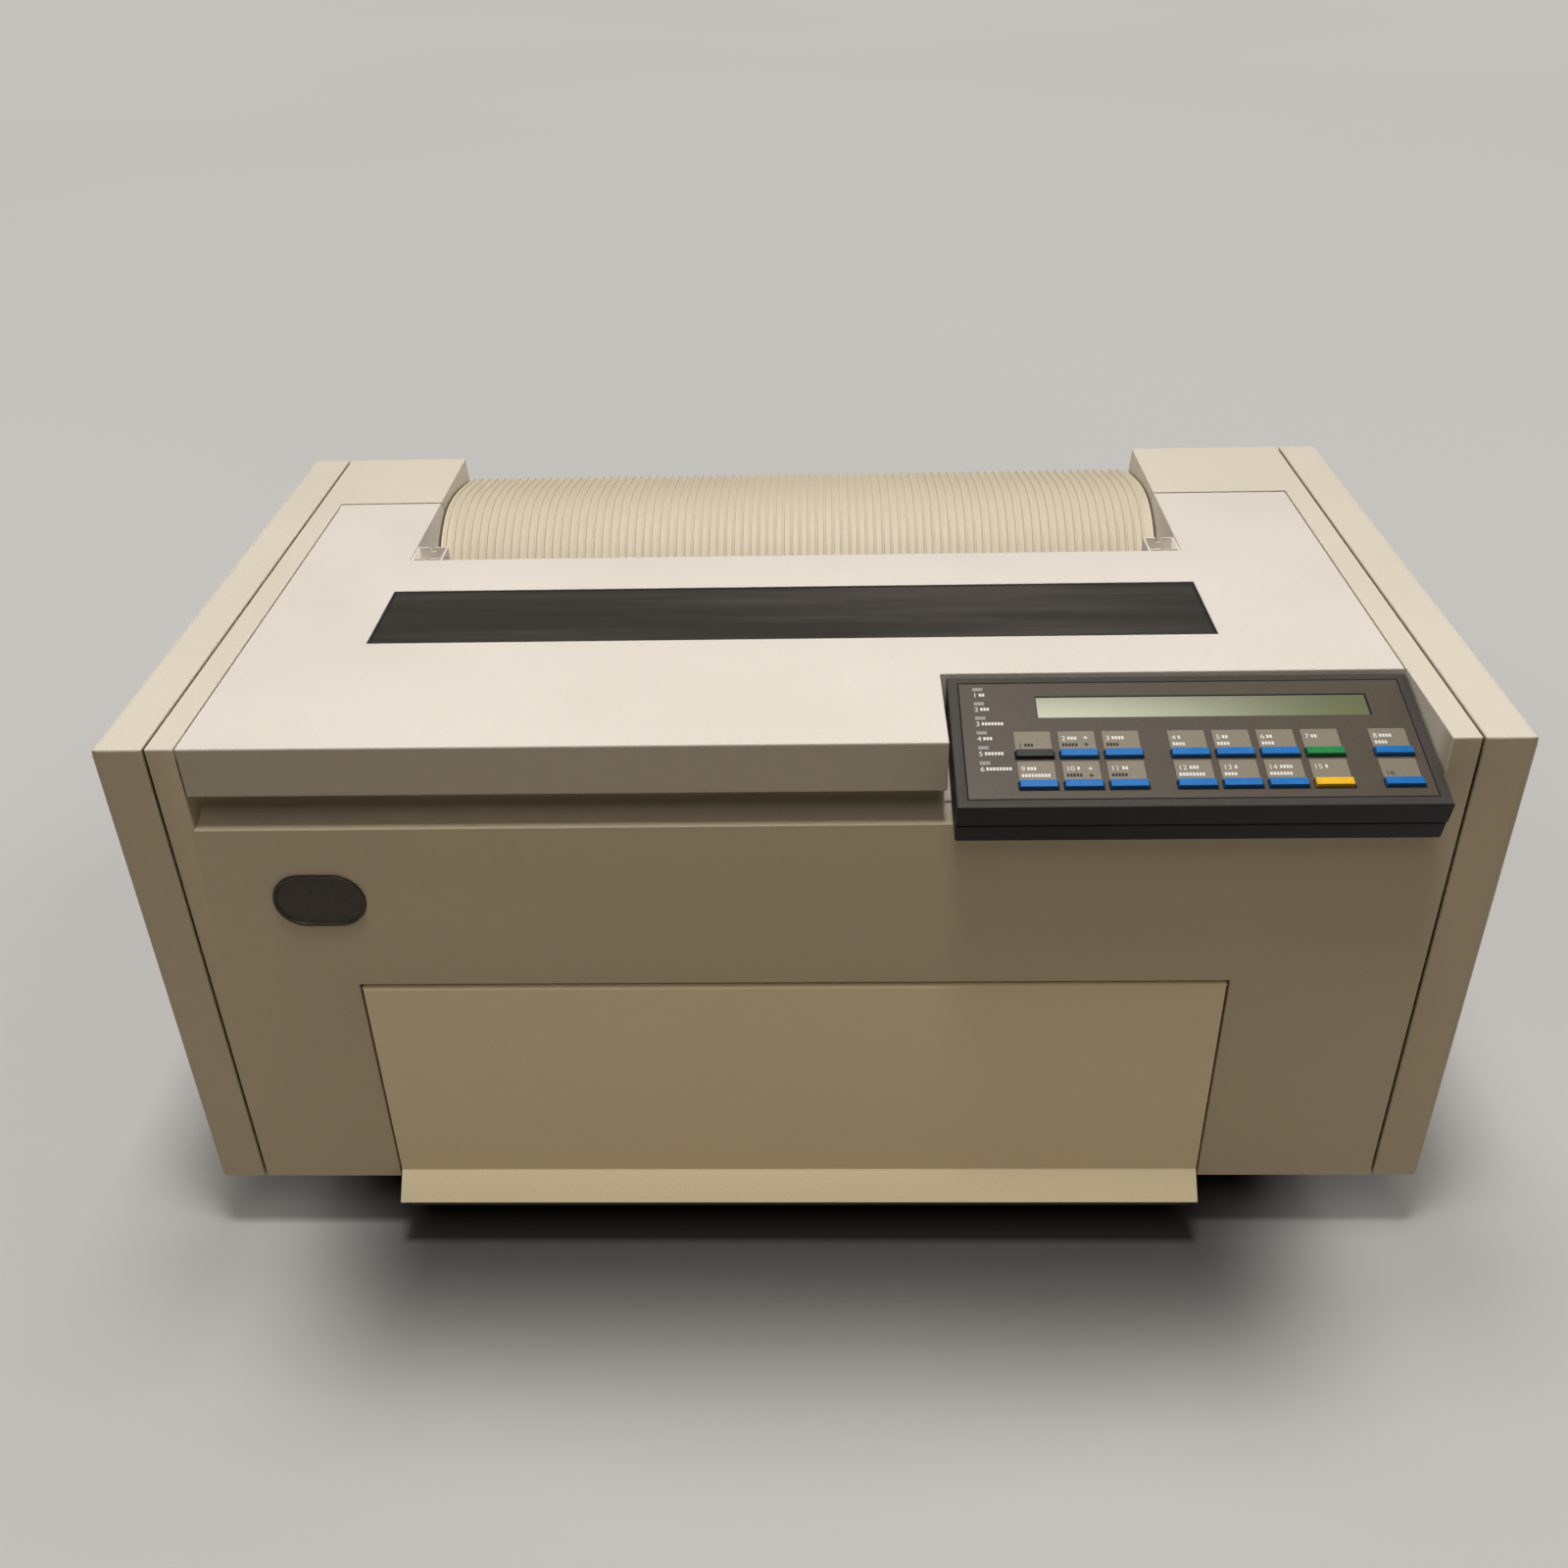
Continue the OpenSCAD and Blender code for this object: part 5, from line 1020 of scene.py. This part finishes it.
def figures(solid, words, x, y, z):
    """Adds flat figures, their lower left corner at x, y and z."""
    curve = bpy.data.curves.new("figures", "FONT")
    curve.body = words
    curve.size = FONT_SIZE
    curve.extrude = INK_T
    holder = bpy.data.objects.new("figures", curve)
    bpy.context.scene.collection.objects.link(holder)
    bpy.context.view_layer.update()
    shown = holder.evaluated_get(bpy.context.evaluated_depsgraph_get())
    flat = bmesh.new()
    flat.from_mesh(bpy.data.meshes.new_from_object(shown))
    bpy.data.objects.remove(holder)
    bmesh.ops.translate(flat, vec=(x, y, z), verts=flat.verts)
    gather(solid, flat)


def print_line(solid, number, width, x, y, z):
    """Prints a number, if there is one, and a row of blocks that fills up the width."""
    start = x
    if number:
        figures(solid, number, x, y - FIGURE_H / 2, z)
        start += FIGURE_PITCH * len(number) + FIGURE_GAP
    for block in range(int((x + width - start) / BLOCK_PITCH)):
        left = start + block * BLOCK_PITCH
        slab(solid, left, left + BLOCK_W, y - BLOCK_H / 2, y + BLOCK_H / 2, z, z + INK_T)


def arrow(solid, way, x, y, z):
    """Prints an arrow that points up or down the panel."""
    head = bmesh.ops.create_circle(solid, cap_ends=True, segments=3, radius=ARROW_R)["verts"]
    bmesh.ops.scale(solid, vec=(1, ARROW_FLAT * way, 1), verts=head)
    bmesh.ops.translate(solid, vec=(x, y + ARROW_UP * way, z), verts=head)
    grow(solid, head[0].link_faces[0], Vector((0, 0, INK_T)))
    slab(solid, x - STEM_HALF_W, x + STEM_HALF_W, y - STEM_HALF_H, y + STEM_HALF_H, z, z + INK_T)


field_ink = Finish("field_ink", linear(134, 124, 106), 0.5)
dots = field_ink.noise(1800, 2.0)
field_ink.paint(field_ink.mix(field_ink.step(dots, 0.3, 0.7), linear(129, 119, 101), linear(140, 129, 111)))
dark_ink = Finish("dark_ink", linear(24, 22, 20), 0.5)
dark_ink.paint(dark_ink.mix(dark_ink.noise(900), linear(19, 17, 16), linear(32, 29, 26)))
fields = bmesh.new()
inks = {"white": bmesh.new(), "dark": bmesh.new()}
on_field = FILM_TOP + FIELD_T
for key, (high_w, high_ink, low_w, low_ink, way) in enumerate(KEY_LINES):
    key_x = KEY_COLUMNS[key % 8]
    field_y = KEY_ROWS[key // 8] + KEY_D + FIELD_GAP
    slab(fields, key_x, key_x + KEY_W, field_y, field_y + FIELD_D, FILM_TOP, on_field)
    number = str(key + 1)
    for width, ink, line_y in ((high_w, high_ink, LINE_HIGH), (low_w, low_ink, LINE_LOW)):
        if width:
            print_line(inks[ink], number, width, key_x + LINE_X, field_y + line_y, on_field)
            number = ""
            if way:
                arrow(inks[ink], way, key_x + ARROW_X, field_y + line_y, on_field)
for lamp_index, width in enumerate(LAMP_LINES):
    line_y = LAMP_TOP - LAMP_PITCH * lamp_index - LAMP_DROP
    print_line(inks["white"], str(lamp_index + 1), width, LAMP_X, line_y, FILM_TOP)
for solid in (fields, *inks.values()):
    bmesh.ops.recalc_face_normals(solid, faces=solid.faces)
    bmesh.ops.transform(solid, matrix=on_panel, verts=solid.verts)
piece("key_fields", fields, field_ink, "chassis")
piece("white_figures", inks["white"], white_ink, "chassis")
piece("dark_figures", inks["dark"], dark_ink, "chassis")

# ---- painted shade strips of the panel and the window ---
# Thin black strips paint the shade in the gaps in front of and beside each key bar,
# round the film, the display and the lid's window.
SHADE_STRIP_FOOT, SHADE_STRIP_TOP = FILM_TOP - 0.0003, FILM_TOP + 0.00005
KEY_GAP = 0.0003
GAP_LEFT, GAP_RIGHT, GAP_FRONT = 0.0005, 0.0006, 0.0007
LCD_X0, LCD_X1, LCD_Y0, LCD_Y1 = 0.0402, 0.1925, 0.0556, 0.0696
LCD_TOP_W, LCD_RIGHT_W, LCD_LEFT_W = 0.0006, 0.0008, 0.0003
LCD_FOOT, OVERLAP = -0.0008, 0.0001
FILM_EDGE, LINE_W = 0.0050, 0.0004
PANE_LIP, STRIP_W = 0.0038, 0.0016
painted_shade = bmesh.new()
for key_y in KEY_ROWS:
    for key_x in KEY_COLUMNS:
        left, after, front = key_x - KEY_GAP, key_x + KEY_W + KEY_GAP, key_y - KEY_GAP
        back = key_y + KEY_D
        slab(painted_shade, left - GAP_LEFT, after + GAP_RIGHT, front - GAP_FRONT, front, SHADE_STRIP_FOOT, SHADE_STRIP_TOP)
        slab(painted_shade, left - GAP_LEFT, left, front, back, SHADE_STRIP_FOOT, SHADE_STRIP_TOP)
        slab(painted_shade, after, after + GAP_RIGHT, front, back, SHADE_STRIP_FOOT, SHADE_STRIP_TOP)
side_y1 = LCD_Y1 - LCD_TOP_W
slab(painted_shade, LCD_X0, LCD_X1, side_y1, LCD_Y1 + OVERLAP, LCD_FOOT, SHADE_STRIP_TOP)
slab(painted_shade, LCD_X1 - LCD_RIGHT_W, LCD_X1 + OVERLAP, LCD_Y0, side_y1, LCD_FOOT, SHADE_STRIP_TOP)
slab(painted_shade, LCD_X0 - OVERLAP, LCD_X0 + LCD_LEFT_W, LCD_Y0, side_y1, LCD_FOOT, SHADE_STRIP_TOP)
film_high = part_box("panel_overlay")[1]
film_x1 = film_high.x - panel_x
film_y1 = (film_high.y - PANEL_EDGE.y) / math.cos(TILT)
slab(painted_shade, FILM_EDGE, film_x1, FILM_EDGE, FILM_EDGE + LINE_W, SHADE_STRIP_FOOT, SHADE_STRIP_TOP)
slab(painted_shade, FILM_EDGE, film_x1, film_y1 - LINE_W, film_y1, SHADE_STRIP_FOOT, SHADE_STRIP_TOP)
slab(painted_shade, FILM_EDGE, FILM_EDGE + LINE_W, FILM_EDGE, film_y1, SHADE_STRIP_FOOT, SHADE_STRIP_TOP)
slab(painted_shade, film_x1 - LINE_W, film_x1, FILM_EDGE, film_y1, SHADE_STRIP_FOOT, SHADE_STRIP_TOP)
bmesh.ops.transform(painted_shade, matrix=on_panel, verts=painted_shade.verts)
piece("panel_painted_shade", painted_shade, black_painted_shade, "chassis")

# Black strips paint the shade in the recess round the window pane.
pane_low, pane_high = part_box("lid_window")
x0, x1 = pane_low.x + PANE_LIP - OVERLAP, pane_high.x - PANE_LIP + OVERLAP
y0, y1 = pane_low.y + PANE_LIP, pane_high.y - PANE_LIP + OVERLAP
z0, z1 = pane_high.z - 0.0005, pane_high.z + 0.00012
strips = bmesh.new()
slab(strips, x0, x1, y1 - STRIP_W, y1, z0, z1)
slab(strips, x0, x0 + STRIP_W, y0, y1 - STRIP_W, z0, z1)
slab(strips, x1 - STRIP_W, x1, y0, y1 - STRIP_W, z0, z1)
piece("window_painted_shade", strips, black_painted_shade, "lid")
